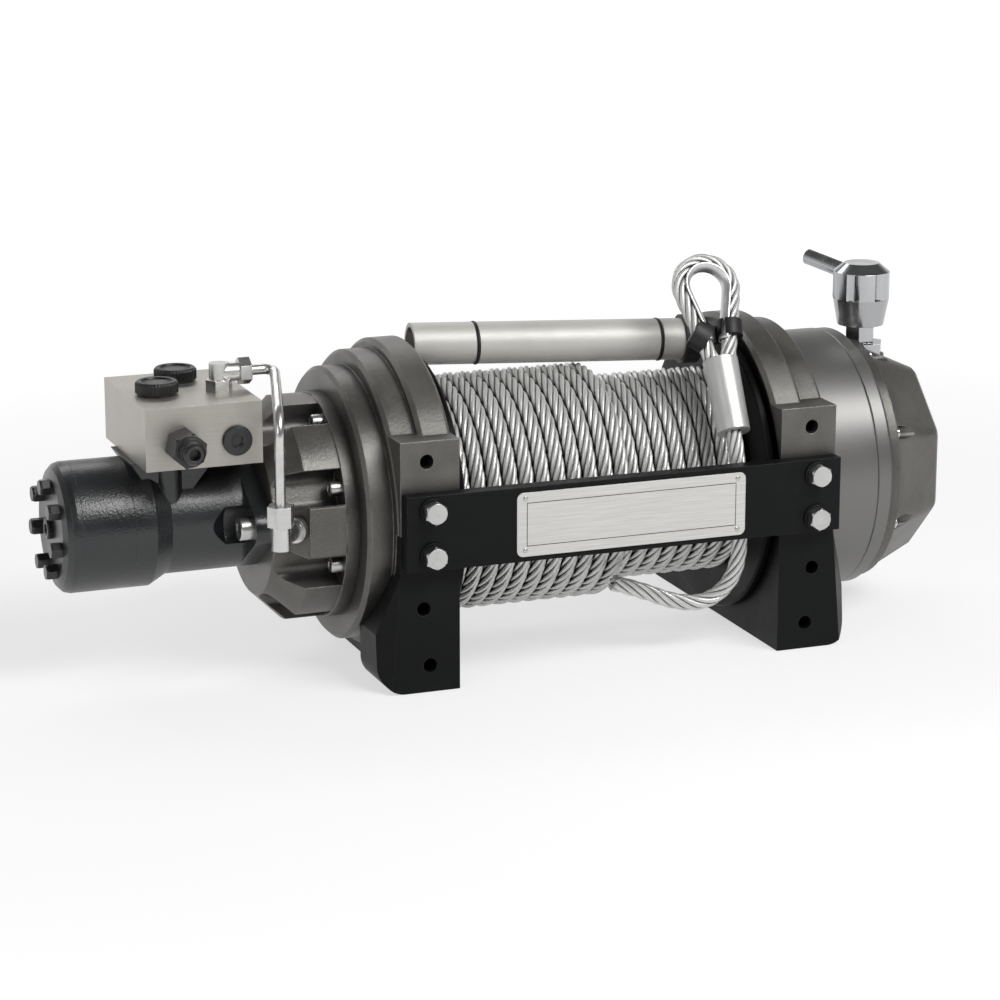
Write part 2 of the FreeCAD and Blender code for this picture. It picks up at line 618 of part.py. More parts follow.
def front_bevel(name, side):
    """What a leaning bevel takes off a foot's outer front edge, between two like outlines on the ground
    and at the slope's top."""
    edge = value_of("%s + foot_width" % FACE)
    front = -val("pad_front")
    slant = val("foot_bevel_slant")
    past = val("foot_bevel_top")
    outlines = []
    top = value_of("axis_height - foot_shoulder_drop")
    for width, z in ((val("foot_bevel_base"), 0), (val("foot_bevel_top"), top)):
        spots = [(edge - width, front - past), (edge - width, front), (edge, front + width * slant),
                 (edge + past, front + width * slant), (edge + past, front - past)]
        corners = [Vec(side * x, y, z) for x, y in spots]
        outlines.append(Part.makePolygon((corners + corners[:1])[::side]))
    piece = doc.addObject("Part::Feature", name)
    piece.Shape = Part.makeLoft(outlines, True, True)
    return piece


def make_foot(side):
    """Front block with a sloped outer edge, a leaning bevel and a round lower corner, and the web that
    carries the support's lower half."""
    name = "right_foot" if side > 0 else "left_foot"
    hand = "%d * " % side
    outward = "+X" if side > 0 else "-X"
    end = "(%s + foot_width)" % FACE
    body = doc.addObject("PartDesign::Body", name + "_block")
    sketch = body.newObject("Sketcher::SketchObject", name + "_outline")
    sketch.AttachmentSupport = [(origin_plane(body, "XZ_Plane"), "")]
    sketch.MapMode = "FlatFace"
    draw(sketch, [(hand + x, z) for x, z in (
        (FACE, "0"),
        (end, "0"),
        (end, "foot_flare_height"),
        ("(%s + pad_width)" % FACE, "axis_height - foot_shoulder_drop"),
        ("(%s + pad_width)" % FACE, "axis_height"),
        (FACE, "axis_height"),
    )])
    pad = body.newObject("PartDesign::Pad", name + "_pad")
    pad.Profile = sketch
    bind(pad, Length="foot_thickness")
    bind(body, **{"Placement.Base.y": "foot_thickness - pad_front"})
    web = box(name + "_web", ("foot_web_width", "2 * pad_front - foot_thickness", "axis_height"),
              (span(side, FACE, "foot_web_width"), "foot_thickness - pad_front", "0"))
    widths = "ring_a_width + ring_b_width"
    saddle = rod(name + "_saddle", "saddle_radius", widths, (hand + FACE, "0", "axis_height"), outward)
    beyond = rod(name + "_beyond", "ring_c_radius", "foot_width", (hand + B_END, "0", "axis_height"), outward)
    corner = cut(name + "_corner",
                 box(name + "_corner_square", ("foot_corner", "foot_thickness", "foot_corner"),
                     (span(side, "(%s - foot_corner)" % end, "foot_corner"), "-pad_front", "0")),
                 rod(name + "_corner_round", "foot_corner", "foot_thickness",
                     (hand + "(%s - foot_corner)" % end, "-pad_front", "foot_corner"), "+Y"))
    holes = [rod("%s_%s_mount" % (name, level), "pad_hole_radius", "foot_hole_depth",
                 (hand + "(%s + foot_hole_%s_inset)" % (FACE, level), "-pad_front", "foot_hole_%s_z" % level),
                 "+Y") for level in ("upper", "lower")]
    for place_name, offset in (("front", "-"), ("rear", "")):
        holes.append(rod("%s_base_%s" % (name, place_name), "base_hole_radius", "base_hole_depth",
                         (hand + "(%s + foot_web_width / 2)" % FACE, offset + "base_hole_offset", "0"), "+Z"))
    tools = fuse(name + "_tools", [saddle, beyond, corner, front_bevel(name + "_bevel", side)]
                 + holes + bolt_holes(name, side))
    made(cut(name + "_cut", fuse(name + "_solid", [body, web]), tools), name)


def make_plate():
    """Tie plate, its four bolts with washers, and the nameplate riveted to it."""
    plate = box("tie_plate_bar", ("2 * " + PLATE_END, "plate_thickness", "plate_height"),
                ("-" + PLATE_END, PLATE_FRONT, PLATE_BOTTOM))
    holes, bolts = [], []
    for side, hand in ((-1, "left"), (1, "right")):
        for level in ("upper", "lower"):
            name = "%s_%s_bolt" % (hand, level)
            spot = ("%d * %s" % (side, BOLT_X), PLATE_FRONT, "axis_height + bolt_%s_rise" % level)
            holes.append(rod(name + "_way", "bolt_shank_radius", "plate_thickness", spot, "+Y"))
            shank = rod(name + "_shank", "bolt_shank_radius", "plate_thickness + bolt_reach", spot, "+Y")
            washer = rod(name + "_washer", "washer_radius", "washer_thickness", spot, "-Y")
            head = hexagon(name + "_head", "bolt_head_radius", "bolt_head_height",
                           (spot[0], PLATE_FRONT + " - washer_thickness", spot[2]), "-Y")
            bolts.append(fuse(name, [shank, washer, head]))
    made(cut("tie_plate_cut", plate, fuse("tie_plate_holes", holes)), "tie_plate")
    made(together("plate_bolts", bolts), "plate_bolts")
    length, height, corner = "nameplate_length", "nameplate_height", "nameplate_round"
    left = "(nameplate_shift - nameplate_length / 2)"
    low = "(%s + (plate_height - nameplate_height) / 2)" % PLATE_BOTTOM
    back = PLATE_FRONT + " - nameplate_thickness"
    sheets = [
        box("nameplate_middle", (length + " - 2 * " + corner, "nameplate_thickness", height),
            (left + " + " + corner, back, low)),
        box("nameplate_wide", (length, "nameplate_thickness", height + " - 2 * " + corner),
            (left, back, low + " + " + corner)),
    ]
    for number, (along, up) in enumerate(((0, 0), (1, 0), (0, 1), (1, 1))):
        x = left + " + " + corner + " + %d * (%s - 2 * %s)" % (along, length, corner)
        z = low + " + " + corner + " + %d * (%s - 2 * %s)" % (up, height, corner)
        sheets.append(rod("nameplate_corner_%d" % number, corner, "nameplate_thickness", (x, back, z), "+Y"))
    made(fuse("nameplate_sheet", sheets), "nameplate")


def ring_spots(count, circle, x, turn="0.5"):
    """Places evenly round the drum's axis at one x, the first one a share of a step past +Y."""
    step = "(%s) * 360 / " + str(count)
    spots = []
    for index in range(int(value_of(count))):
        angle = step % ("%d + %s" % (index, turn))
        spots.append((x, "%s * cos(%s)" % (circle, angle), "axis_height + %s * sin(%s)" % (circle, angle)))
    return spots


def pocket_shape(spot, angle):
    """A pocket round one bell screw: straight walls outward from a floor with round corners."""
    half = val("bell_pocket_width") / 2
    corner = val("bell_pocket_round")
    floor = -val("bell_pocket_floor")
    top = val("bell_flange_radius")
    lean = corner * (1 - math.sqrt(0.5))
    spots = [Vec(0, half, top), Vec(0, half, floor + corner), Vec(0, half - lean, floor + lean),
             Vec(0, half - corner, floor), Vec(0, corner - half, floor), Vec(0, lean - half, floor + lean),
             Vec(0, -half, floor + corner), Vec(0, -half, top)]
    outline = Part.Wire([
        Part.LineSegment(spots[0], spots[1]).toShape(),
        Part.Arc(spots[1], spots[2], spots[3]).toShape(),
        Part.LineSegment(spots[3], spots[4]).toShape(),
        Part.Arc(spots[4], spots[5], spots[6]).toShape(),
        Part.LineSegment(spots[6], spots[7]).toShape(),
        Part.LineSegment(spots[7], spots[0]).toShape(),
    ])
    pocket = Part.Face(outline).extrude(Vec(-val("bell_length"), 0, 0))
    pocket.Placement = FreeCAD.Placement(point(*spot), FreeCAD.Rotation(Vec(1, 0, 0), angle - 90))
    return pocket


def make_bell():
    """Bell over the brake: lobes between pockets that hold its screws, with a flat boss on the front lobe."""
    body = turned("brake_bell_body", [
        (BELL_SEAT, "0"),
        (BELL_SEAT, "bell_flange_radius"),
        (BELL_SEAT + " + bell_flange_width", "bell_flange_radius"),
        (BELL_SEAT + " + bell_flange_width", "bell_lobe_radius"),
        (BELL_SEAT + " + bell_shoulder", "bell_lobe_radius"),
        (MOTOR_SEAT, "bell_nose_radius"),
        (MOTOR_SEAT, "0"),
    ], "-1")
    boss = box("brake_bell_boss", ("bell_boss_width", "bell_boss_front", "bell_boss_height"),
               ("-%s - bell_boss_inset - bell_boss_width" % BELL_SEAT, "-bell_boss_front",
                "axis_height + bell_boss_rise - bell_boss_height / 2"))
    seat = "-(%s + bell_flange_width)" % BELL_SEAT
    spots = ring_spots("bell_screw_count", "bell_screw_circle", seat)
    step = 360 / len(spots)
    pockets = doc.addObject("Part::Feature", "bell_pockets")
    pockets.Shape = Part.makeCompound([pocket_shape(spot, step * (index + 0.5))
                                       for index, spot in enumerate(spots)])
    screws = [rod("bell_screw_%d" % index, "bell_screw_head", "bell_screw_height", spot, "-X")
              for index, spot in enumerate(spots)]
    solid = fuse("brake_bell_solid", [body, boss])
    made(cut("brake_bell_cut", solid, pockets), "brake_bell")
    made(together("bell_screws", screws), "bell_screws")


def round_octagon(flat_radius, corner, x):
    """A wire of an upright octagon about the drum's axis at one x, with a flat on top and round corners."""
    eighth = math.pi / 4
    centre = (flat_radius - corner) / math.cos(eighth / 2)
    axis = val("axis_height")

    def spot(radius, angle):
        return Vec(x, radius * math.cos(angle), axis + radius * math.sin(angle))

    arcs = []
    for index in range(8):
        middle = (index + 0.5) * eighth
        heart = spot(centre, middle)
        ends = [heart + Vec(0, corner * math.cos(angle), corner * math.sin(angle))
                for angle in (middle - eighth / 2, middle, middle + eighth / 2)]
        arcs.append(ends)
    edges = []
    for index, ends in enumerate(arcs):
        edges.append(Part.Arc(*ends).toShape())
        edges.append(Part.LineSegment(ends[2], arcs[(index + 1) % 8][0]).toShape())
    return Part.Wire(edges)


def make_gearbox():
    """Round gear housing, ring gear and faceted end cover with the clutch's seat on top."""
    made(turned("gear_housing_body", [
        (B_END, "0"),
        (B_END, "gear_radius"),
        (GEAR_SEAM + " - rim_chamfer / 3", "gear_radius"),
        (GEAR_SEAM, "gear_radius - rim_chamfer / 3"),
        (GEAR_SEAM, "0"),
    ]), "gear_housing")
    made(turned("ring_gear_body", [
        (GEAR_SEAM, "0"),
        (GEAR_SEAM, "ring_gear_radius - rim_chamfer / 3"),
        (GEAR_SEAM + " + rim_chamfer / 3", "ring_gear_radius"),
        (RING_END + " - rim_chamfer", "ring_gear_radius"),
        (RING_END, "ring_gear_radius - rim_chamfer"),
        (RING_END, "0"),
    ]), "ring_gear")
    flange = rod("cover_flange", "ring_gear_radius - cover_rim", "cover_flange_width",
                 (RING_END, "0", "axis_height"), "+X")
    base, nose, edge = val("cover_base_radius"), val("cover_nose_radius"), val("cover_edge")
    start = value_of(RING_END)
    end = value_of(COVER_END)
    dome = doc.addObject("Part::Feature", "cover_dome")
    dome.Shape = Part.makeLoft([
        round_octagon(base, val("cover_corner"), start),
        round_octagon(base, val("cover_corner"), start + val("cover_flange_width")),
        round_octagon(nose, val("cover_nose_corner"), end - edge),
        round_octagon(nose - edge, val("cover_nose_corner") - edge, end),
    ], True, True)
    seat = rod("clutch_seat", "clutch_boss_radius", "clutch_seat_rise", (CLUTCH_X, "0", "axis_height"), "+Z")
    solid = fuse("cover_solid", [flange, dome, seat])
    hole = rod("clutch_way", "clutch_boss_radius + rim_chamfer", "ring_a_radius",
               (CLUTCH_X, "0", CLUTCH_SEAT), "+Z")
    screws, ways = [], []
    spots = ring_spots("cover_screw_count", "cover_screw_circle", RING_END + " + cover_flange_width")
    for index, spot in enumerate(spots):
        ways.append(rod("cover_pocket_%d" % index, "cover_screw_head + rim_chamfer / 3", "cover_length",
                        spot, "+X"))
        screws.append(rod("cover_screw_%d" % index, "cover_screw_head", "cover_screw_height", spot, "+X"))
    made(cut("gear_end_cover_cut", solid, fuse("cover_tools", [hole] + ways)), "gear_end_cover")
    made(together("cover_screws", screws), "cover_screws")


def make_clutch():
    """Two hexagons and a stem on the end cover; fluted knob and lever that turn on the stem."""
    at_seat = (CLUTCH_X, "0", CLUTCH_SEAT)
    boss = hexagon("clutch_hexagon", "clutch_boss_radius", "clutch_boss_height", at_seat, "+Z")
    nut = hexagon("clutch_nut", "clutch_nut_radius",
                  "clutch_boss_height + clutch_stem_show - clutch_knob_clear", at_seat, "+Z")
    deep = "(clutch_knob_height * clutch_bore_share)"
    stem = rod("clutch_shaft", "clutch_stem_radius", "clutch_boss_height + clutch_stem_show + " + deep,
               at_seat, "+Z")
    made(fuse("clutch_stem", [boss, nut, stem]), "clutch_stem")
    straight = "(clutch_knob_height - clutch_knob_flare - clutch_knob_bevel)"
    parts = [
        cone("clutch_knob_lower", ("clutch_knob_foot", "clutch_knob_radius"), "clutch_knob_flare",
             (CLUTCH_X, "0", KNOB_BOTTOM), "+Z"),
        rod("clutch_knob_middle", "clutch_knob_radius", straight,
            (CLUTCH_X, "0", KNOB_BOTTOM + " + clutch_knob_flare"), "+Z"),
        cone("clutch_knob_upper", ("clutch_knob_radius", "clutch_knob_top"), "clutch_knob_bevel",
             (CLUTCH_X, "0", KNOB_BOTTOM + " + clutch_knob_height - clutch_knob_bevel"), "+Z"),
    ]
    tools = [rod("clutch_knob_bore", "clutch_stem_radius + clutch_gap", deep + " + clutch_gap",
                 (CLUTCH_X, "0", KNOB_BOTTOM), "+Z")]
    out = "(clutch_knob_radius + clutch_flute_radius - clutch_flute_cut)"
    for index in range(int(val("clutch_flute_count"))):
        turn = "(clutch_flute_turn + %d * 360 / clutch_flute_count)" % index
        spot = ("%s + %s * cos(%s)" % (CLUTCH_X, out, turn), "%s * sin(%s)" % (out, turn),
                KNOB_BOTTOM + " + clutch_knob_flare")
        tools.append(rod("clutch_flute_%d" % index, "clutch_flute_radius", straight, spot, "+Z"))
    middle = point(CLUTCH_X, "0", KNOB_BOTTOM + " + clutch_knob_height * clutch_lever_share")
    bearing = math.radians(val("clutch_lever_turn"))
    ahead = Vec(math.cos(bearing), math.sin(bearing), val("clutch_lever_climb")).normalize()
    start = middle + ahead * (val("clutch_stem_radius") + val("clutch_knob_clear"))
    lever = doc.addObject("Part::Feature", "lever_bar")
    lever.Shape = Part.makeCylinder(val("clutch_lever_radius"), val("clutch_lever_length"), start, ahead)
    knob = fuse("clutch_knob_solid", parts)
    made(cut("clutch_knob_cut", knob, fuse("clutch_knob_tools", tools + [lever])), "clutch_knob")
    made(lever, "clutch_lever")


def flange_shape():
    """Mounting flange: a round middle drawn out to an ear at the front and the rear by straight sides."""
    wide, ear, reach = val("motor_body_radius"), val("motor_ear_radius"), val("motor_flange_reach")
    lean = (wide - ear) / reach
    rise = math.sqrt(1 - lean * lean)

    def spot(y, z):
        return Vec(-value_of(MOTOR_SEAT), y, val("axis_height") + z)

    edges = []
    for side in (1, -1):
        near = [spot(side * wide * lean, side * z * wide * rise) for z in (1, -1)]
        far = [spot(side * (reach + ear * lean), side * z * ear * rise) for z in (1, -1)]
        edges.append(Part.LineSegment(near[0], far[0]).toShape())
        edges.append(Part.Arc(far[0], spot(side * (reach + ear), 0), far[1]).toShape())
        edges.append(Part.LineSegment(far[1], near[1]).toShape())
        edges.append(Part.Arc(near[1], spot(0, -side * wide),
                              spot(-side * wide * lean, -side * wide * rise)).toShape())
    plate = Part.Face(Part.Wire(edges)).extrude(Vec(-val("motor_flange_thickness"), 0, 0))
    piece = doc.addObject("Part::Feature", "motor_flange_plate")
    piece.Shape = plate
    return piece


def make_port():
    """Port boss: a block with sloping ends that meet in a V on the housing, and a round post on each face."""
    body = doc.addObject("PartDesign::Body", "motor_port")
    sketch = body.newObject("Sketcher::SketchObject", "motor_port_outline")
    sketch.AttachmentSupport = [(origin_plane(body, "XZ_Plane"), "")]
    sketch.MapMode = "FlatFace"
    draw(sketch, [
        ("-%s - port_foot" % PORT_X, "axis_height + port_low"),
        ("-%s + port_foot" % PORT_X, "axis_height + port_low"),
        ("-%s + port_inner" % PORT_X, BLOCK_BOTTOM),
        ("-%s - port_outer" % PORT_X, BLOCK_BOTTOM),
    ])
    pad = body.newObject("PartDesign::Pad", "motor_port_pad")
    pad.Profile = sketch
    bind(pad, Length="port_depth")
    bind(body, **{"Placement.Base.y": "port_depth / 2"})
    posts = [rod("motor_port_post_" + name, "port_post_radius", "block_rise",
                 ("-" + PORT_X, "%d * (port_depth / 2 - port_post_inset)" % side, "axis_height"), "+Z")
             for name, side in (("front", -1), ("rear", 1))]
    return [body] + posts


def make_motor():
    """Hydraulic motor: housing with hollows beside its flange screws, gear set, end cover and bolts."""
    housing = turned("motor_tube", [
        (MOTOR_SEAT, "0"),
        (MOTOR_SEAT, "motor_body_radius"),
        (CONE, "motor_body_radius"),
        (WIDE, "motor_wide_radius"),
        (SET_SEAM, "motor_wide_radius"),
        (SET_SEAM, "0"),
    ], "-1")
    screws, hollows = [], []
    for name, side in (("front", -1), ("rear", 1)):
        face = ("-%s - motor_flange_thickness" % MOTOR_SEAT, "%d * motor_flange_reach" % side, "axis_height")
        screws.append(rod("motor_screw_" + name, "motor_screw_head", "motor_screw_height", face, "-X"))
        hollows.append(rod("motor_hollow_" + name, "motor_pocket_radius", "motor_pocket_length", face, "-X"))
        hollows.append(cone("motor_hollow_end_" + name, ("motor_pocket_radius", "motor_pocket_tip"),
                            "motor_pocket_end", (face[0] + " - motor_pocket_length", face[1], face[2]), "-X"))
    body = cut("motor_tube_cut", housing, fuse("motor_hollows", hollows))
    made(fuse("motor_housing_solid", [body, flange_shape()] + make_port()), "motor_housing")
    made(together("motor_flange_screws", screws), "motor_flange_screws")
    made(turned("motor_gear_set_body", [
        (SET_SEAM, "0"),
        (SET_SEAM, "motor_wide_radius"),
        (CAP_SEAM, "motor_wide_radius"),
        (CAP_SEAM, "0"),
    ], "-1"), "motor_gear_set")
    made(turned("motor_end_cover_body", [
        (CAP_SEAM, "0"),
        (CAP_SEAM, "motor_wide_radius"),
        (MOTOR_END + " - motor_cap_bevel", "motor_wide_radius"),
        (MOTOR_END + " - motor_cap_bevel * 0.6", "motor_wide_radius - motor_face_drop * 0.1"),
        (MOTOR_END + " - motor_cap_bevel * 0.25", "motor_wide_radius - motor_face_drop * 0.42"),
        (MOTOR_END, "motor_wide_radius - motor_face_drop"),
        (MOTOR_END, "0"),
    ], "-1"), "motor_end_cover")
    bolts = []
    spots = ring_spots("motor_bolt_count", "motor_bolt_circle", "-" + MOTOR_END, "-0.2")
    for index, spot in enumerate(spots):
        bolts.append(hexagon("motor_bolt_%d" % index, "motor_bolt_radius", "motor_bolt_height", spot, "-X"))
    bolts.append(rod("motor_plug", "motor_plug_radius", "motor_bolt_height / 2",
                     ("-" + MOTOR_END, "0", "axis_height"), "-X"))
    made(together("motor_end_bolts", bolts), "motor_end_bolts")


def make_block():
    """Valve block on the motor's port boss, with its front fitting and plug and its black caps."""
    made(box("valve_block", ("block_length", "block_depth", "block_height"),
             ("-%s - block_length / 2" % BLOCK_X, "-block_front", BLOCK_BOTTOM)), "valve_block")
    spot = ("-%s - supply_offset" % BLOCK_X, "-block_front", BLOCK_BOTTOM + " + supply_rise")
    hex_nut = hexagon("supply_hexagon", "supply_hex_radius", "supply_hex_length", spot, "-Y")
    nipple = rod("supply_nipple", "supply_nipple_radius", "supply_hex_length + supply_nipple_length",
                 spot, "-Y")
    made(fuse("supply_fitting", [hex_nut, nipple]), "supply_fitting")
    made(rod("block_plug", "block_plug_radius", "block_plug_height",
             ("-%s + block_plug_offset" % BLOCK_X, "-block_front", BLOCK_BOTTOM + " + block_plug_rise"),
             "-Y"), "block_plug")
    for label, offset in (("front_cap", -1), ("rear_cap", 1)):
        made(rod(label, "cap_radius", "cap_height",
                 ("-%s - cap_offset + %d * cap_step_x" % (BLOCK_X, offset),
                  "cap_middle + %d * cap_step_y" % offset, BLOCK_TOP), "+Z"), label)


def make_brake_line():
    """Elbow on the block, pipe down the bell's front and the fitting on the bell's boss."""
    x = "-%s + elbow_offset" % BLOCK_X
    y = "-elbow_front"
    outlet = BLOCK_TOP + " + elbow_height"
    foot = hexagon("elbow_hexagon", "elbow_hex_radius", "elbow_hex_height", (x, y, BLOCK_TOP), "+Z")
    stem = rod("elbow_stem", "elbow_radius", "elbow_height + elbow_radius", (x, y, BLOCK_TOP), "+Z")
    arm = rod("elbow_arm", "elbow_radius", "elbow_reach", (x, y, outlet), "+X")
    nut = hexagon("elbow_nut", "elbow_hex_radius", "elbow_hex_height",
                  (x + " + elbow_reach - elbow_hex_height", y, outlet), "+X")
    made(fuse("brake_elbow", [foot, stem, arm, nut]), "brake_elbow")
    wire, radii = route([
        point(x + " + elbow_reach", y, outlet),
        point(x + " + elbow_reach + pipe_bend", y, outlet),
        point("-" + PIPE_X, "-pipe_front", outlet + " - pipe_bend"),
        point("-" + PIPE_X, "-pipe_front", "axis_height + banjo_rise"),
    ], bend=val("pipe_bend"))
    made(swept("brake_pipe", wire, val("pipe_radius")), "brake_pipe")
    spot = ("-" + PIPE_X, "-pipe_front", "axis_height - banjo_drop")
    lower_nut = hexagon("banjo_nut", "elbow_hex_radius", "banjo_nut_length",
                        (spot[0], spot[1], "axis_height + banjo_rise - banjo_nut_length"), "+Z")
    barrel = rod("banjo_barrel", "elbow_radius", "banjo_rise + banjo_drop", spot, "+Z")
    slanted = FreeCAD.Rotation(Vec(0, 0, 1), Vec(1, 1, 0))
    link = doc.addObject("Part::Cylinder", "banjo_link")
    bind(link, Radius="elbow_radius", Height="banjo_step * sqrt(2) - banjo_washer")
    place(link, (spot[0], spot[1], "axis_height + banjo_height"), slanted)
    washer = doc.addObject("Part::Cylinder", "banjo_seat")
    bind(washer, Radius="banjo_radius", Height="banjo_washer")
    place(washer, (spot[0] + " + banjo_step - banjo_washer / sqrt(2)",
                   spot[1] + " + banjo_step - banjo_washer / sqrt(2)", "axis_height + banjo_height"), slanted)
    made(fuse("brake_banjo", [lower_nut, barrel, link, washer]), "brake_banjo")


def eye_slope():
    """Angle between a leg of the eye and its middle line."""
    half = val("rope_diameter") / 2
    return math.asin((val("eye_radius") - half) / (val("eye_length") - val("eye_radius")))


def eye_wire(top, up, wide, inset, start):
    """Two legs and a round crown in the plane of up and wide, moved inward by inset, from start above top."""
    radius = val("eye_radius") - inset
    centre = top + up * (val("eye_length") - val("eye_radius"))
    slope = eye_slope()
    feet, edges = [], []
    for hand in (1, -1):
        out = wide * (hand * math.cos(slope)) - up * math.sin(slope)
        down = wide * (-hand * math.sin(slope)) - up * math.cos(slope)
        edge = centre + out * radius
        edges.append(edge)
        feet.append(edge + down * (((edge - top).dot(up) - start) / math.cos(slope)))
    return Part.Wire([
        Part.LineSegment(feet[0], edges[0]).toShape(),
        Part.Arc(edges[0], centre + up * radius, edges[1]).toShape(),
        Part.LineSegment(edges[1], feet[1]).toShape(),
    ])


def around(spots, leg, lean, slant):
    """A sleeve round one leg of the eye: its axis leans from the leg's by the slant, in the eye's plane."""
    up, wide, normal = spots
    turn = lean + slant
    axis = up * math.cos(turn) + wide * math.sin(turn)
    across = wide * math.cos(turn) - up * math.sin(turn)
    width, outer = val("strap_width"), val("rope_diameter") / 2 + val("strap_wall") * 1.2
    reach = outer / math.cos(slant)
    sleeve = Part.Ellipse(Vec(reach, 0, 0), Vec(0, outer, 0), Vec())
    solid = Part.Face(Part.Wire([sleeve.toShape()])).extrude(Vec(0, 0, width))
    turned_so = FreeCAD.Rotation(across, normal, axis, "ZXY")
    solid.Placement = FreeCAD.Placement(leg - axis * (width / 2), turned_so)
    return solid


def make_strap(top, up, wide, held, tube):
    """Rubber strap: a sleeve round each leg of the eye, a band that joins them behind and a cuff that
    grips the tube's end."""
    normal = up.cross(wide)
    half = val("rope_diameter") / 2
    wall, width = val("strap_wall"), val("strap_width")
    slope = eye_slope()
    spots = (up, wide, normal)
    sleeves = []
    middles = []
    for hand, rise, slant in ((1, val("strap_right_rise"), val("strap_right_slant")),
                              (-1, val("strap_left_rise"), val("strap_left_slant"))):
        leg = top + up * rise + wide * (hand * (half + rise * math.tan(slope)))
        middles.append(leg)
        sleeves.append(around(spots, leg, slope * hand, math.radians(slant)))
    behind = normal * (1 if normal.y > 0 else -1)
    across = middles[0] - middles[1]
    flat = across.cross(behind).normalize()
    band = Part.makeBox(across.Length, wall * 2, width)
    band.Placement = FreeCAD.Placement(middles[1] + behind * (half - wall / 2) - flat * (width / 2),
                                       FreeCAD.Rotation(across, behind, flat, "ZXY"))
    ahead = (tube[1] - tube[0]).normalize()
    cuff = Part.makeCylinder(val("tube_radius") + wall, width, tube[1] - ahead * (width - wall), ahead)
    first = middles[1] * 0.5 + middles[0] * 0.5 + behind * (half + wall / 2)
    last = tube[1] + ahead * (wall / 2)
    run = last - first
    level = run.cross(Vec(0, 0, 1)).normalize()
    strip = Part.makeBox(width, wall * 2, run.Length)
    strip.Placement = FreeCAD.Placement(first - level * (width / 2), FreeCAD.Rotation(level, Vec(), run, "ZXY"))
    core = Part.makeCylinder(val("tube_radius"), (tube[1] - tube[0]).Length, tube[0], ahead)
    strap = doc.addObject("Part::Feature", "strap_band")
    strap.Shape = sleeves[0].fuse([sleeves[1], band, cuff, strip]).cut(core).cut(held).removeSplitter()
    made(strap, "eye_strap")


def round_drum(x, radius, turn):
    """A point at one x, from its distance to the drum's axis and its bearing round it from the front."""
    return point(x, "-(%s) * cos(%s)" % (radius, turn), "axis_height + (%s) * sin(%s)" % (radius, turn))


def make_tube(left, right):
    """Loose tube with a groove near each end."""
    ahead = (right - left).normalize()
    length = (right - left).Length
    radius, wall, deep = val("tube_radius"), val("tube_wall"), val("tube_groove_depth")
    shape = Part.makeCylinder(radius, length, left, ahead)
    shape = shape.cut(Part.makeCylinder(radius - wall, length, left, ahead))
    width = val("tube_groove_width")
    for along in (val("tube_left_groove"), length - val("tube_right_groove")):
        start = left + ahead * along
        core = Part.makeCylinder(radius - deep, width, start, ahead)
        shape = shape.cut(Part.makeCylinder(radius + deep, width, start, ahead).cut(core))
    tube = doc.addObject("Part::Feature", "tube_wall_solid")
    tube.Shape = shape
    made(tube, "drum_tube")


def make_thimble(top, up, wide, eye):
    """Thimble inside the eye: a flat bar along the inside of the rope, hollowed by the rope itself."""
    path = eye_wire(top, up, wide, val("thimble_inset"), val("thimble_start"))
    first = path.Edges[0]
    start = first.valueAt(first.FirstParameter)
    ahead = first.tangentAt(first.FirstParameter)
    normal = up.cross(wide).normalize()
    outward = ahead.cross(normal).normalize()
    if (start + outward - top).dot(wide) < (start - top).dot(wide):
        outward = outward * -1
    half = val("thimble_half")
    corners = [start + normal * side * half + outward * out
               for side, out in ((1, 0), (1, val("thimble_deep")), (-1, val("thimble_deep")), (-1, 0))]
    section = Part.makePolygon(corners + corners[:1])
    piece = doc.addObject("Part::Feature", "thimble_bar")
    piece.Shape = path.makePipeShell([section], True, False).cut(eye)
    made(piece, "eye_thimble")
    return piece


# The free rope below the ferrule: inset from the right drum flange, height over the rope wound on the
# drum, and bearing round the drum's axis from the front, at each corner of its route
TAIL = [
    (25.8, 12.4, 7.1),
    (22, 11.8, -10.3),
    (20, 16.7, -25.25),
    (27, 23.3, -36.1),
    (46, 27.6, -42.1),
    (72, 23.5, -41.4),
    (98, 15.1, -37.3),
    (122, 9.6, -34.3),
]


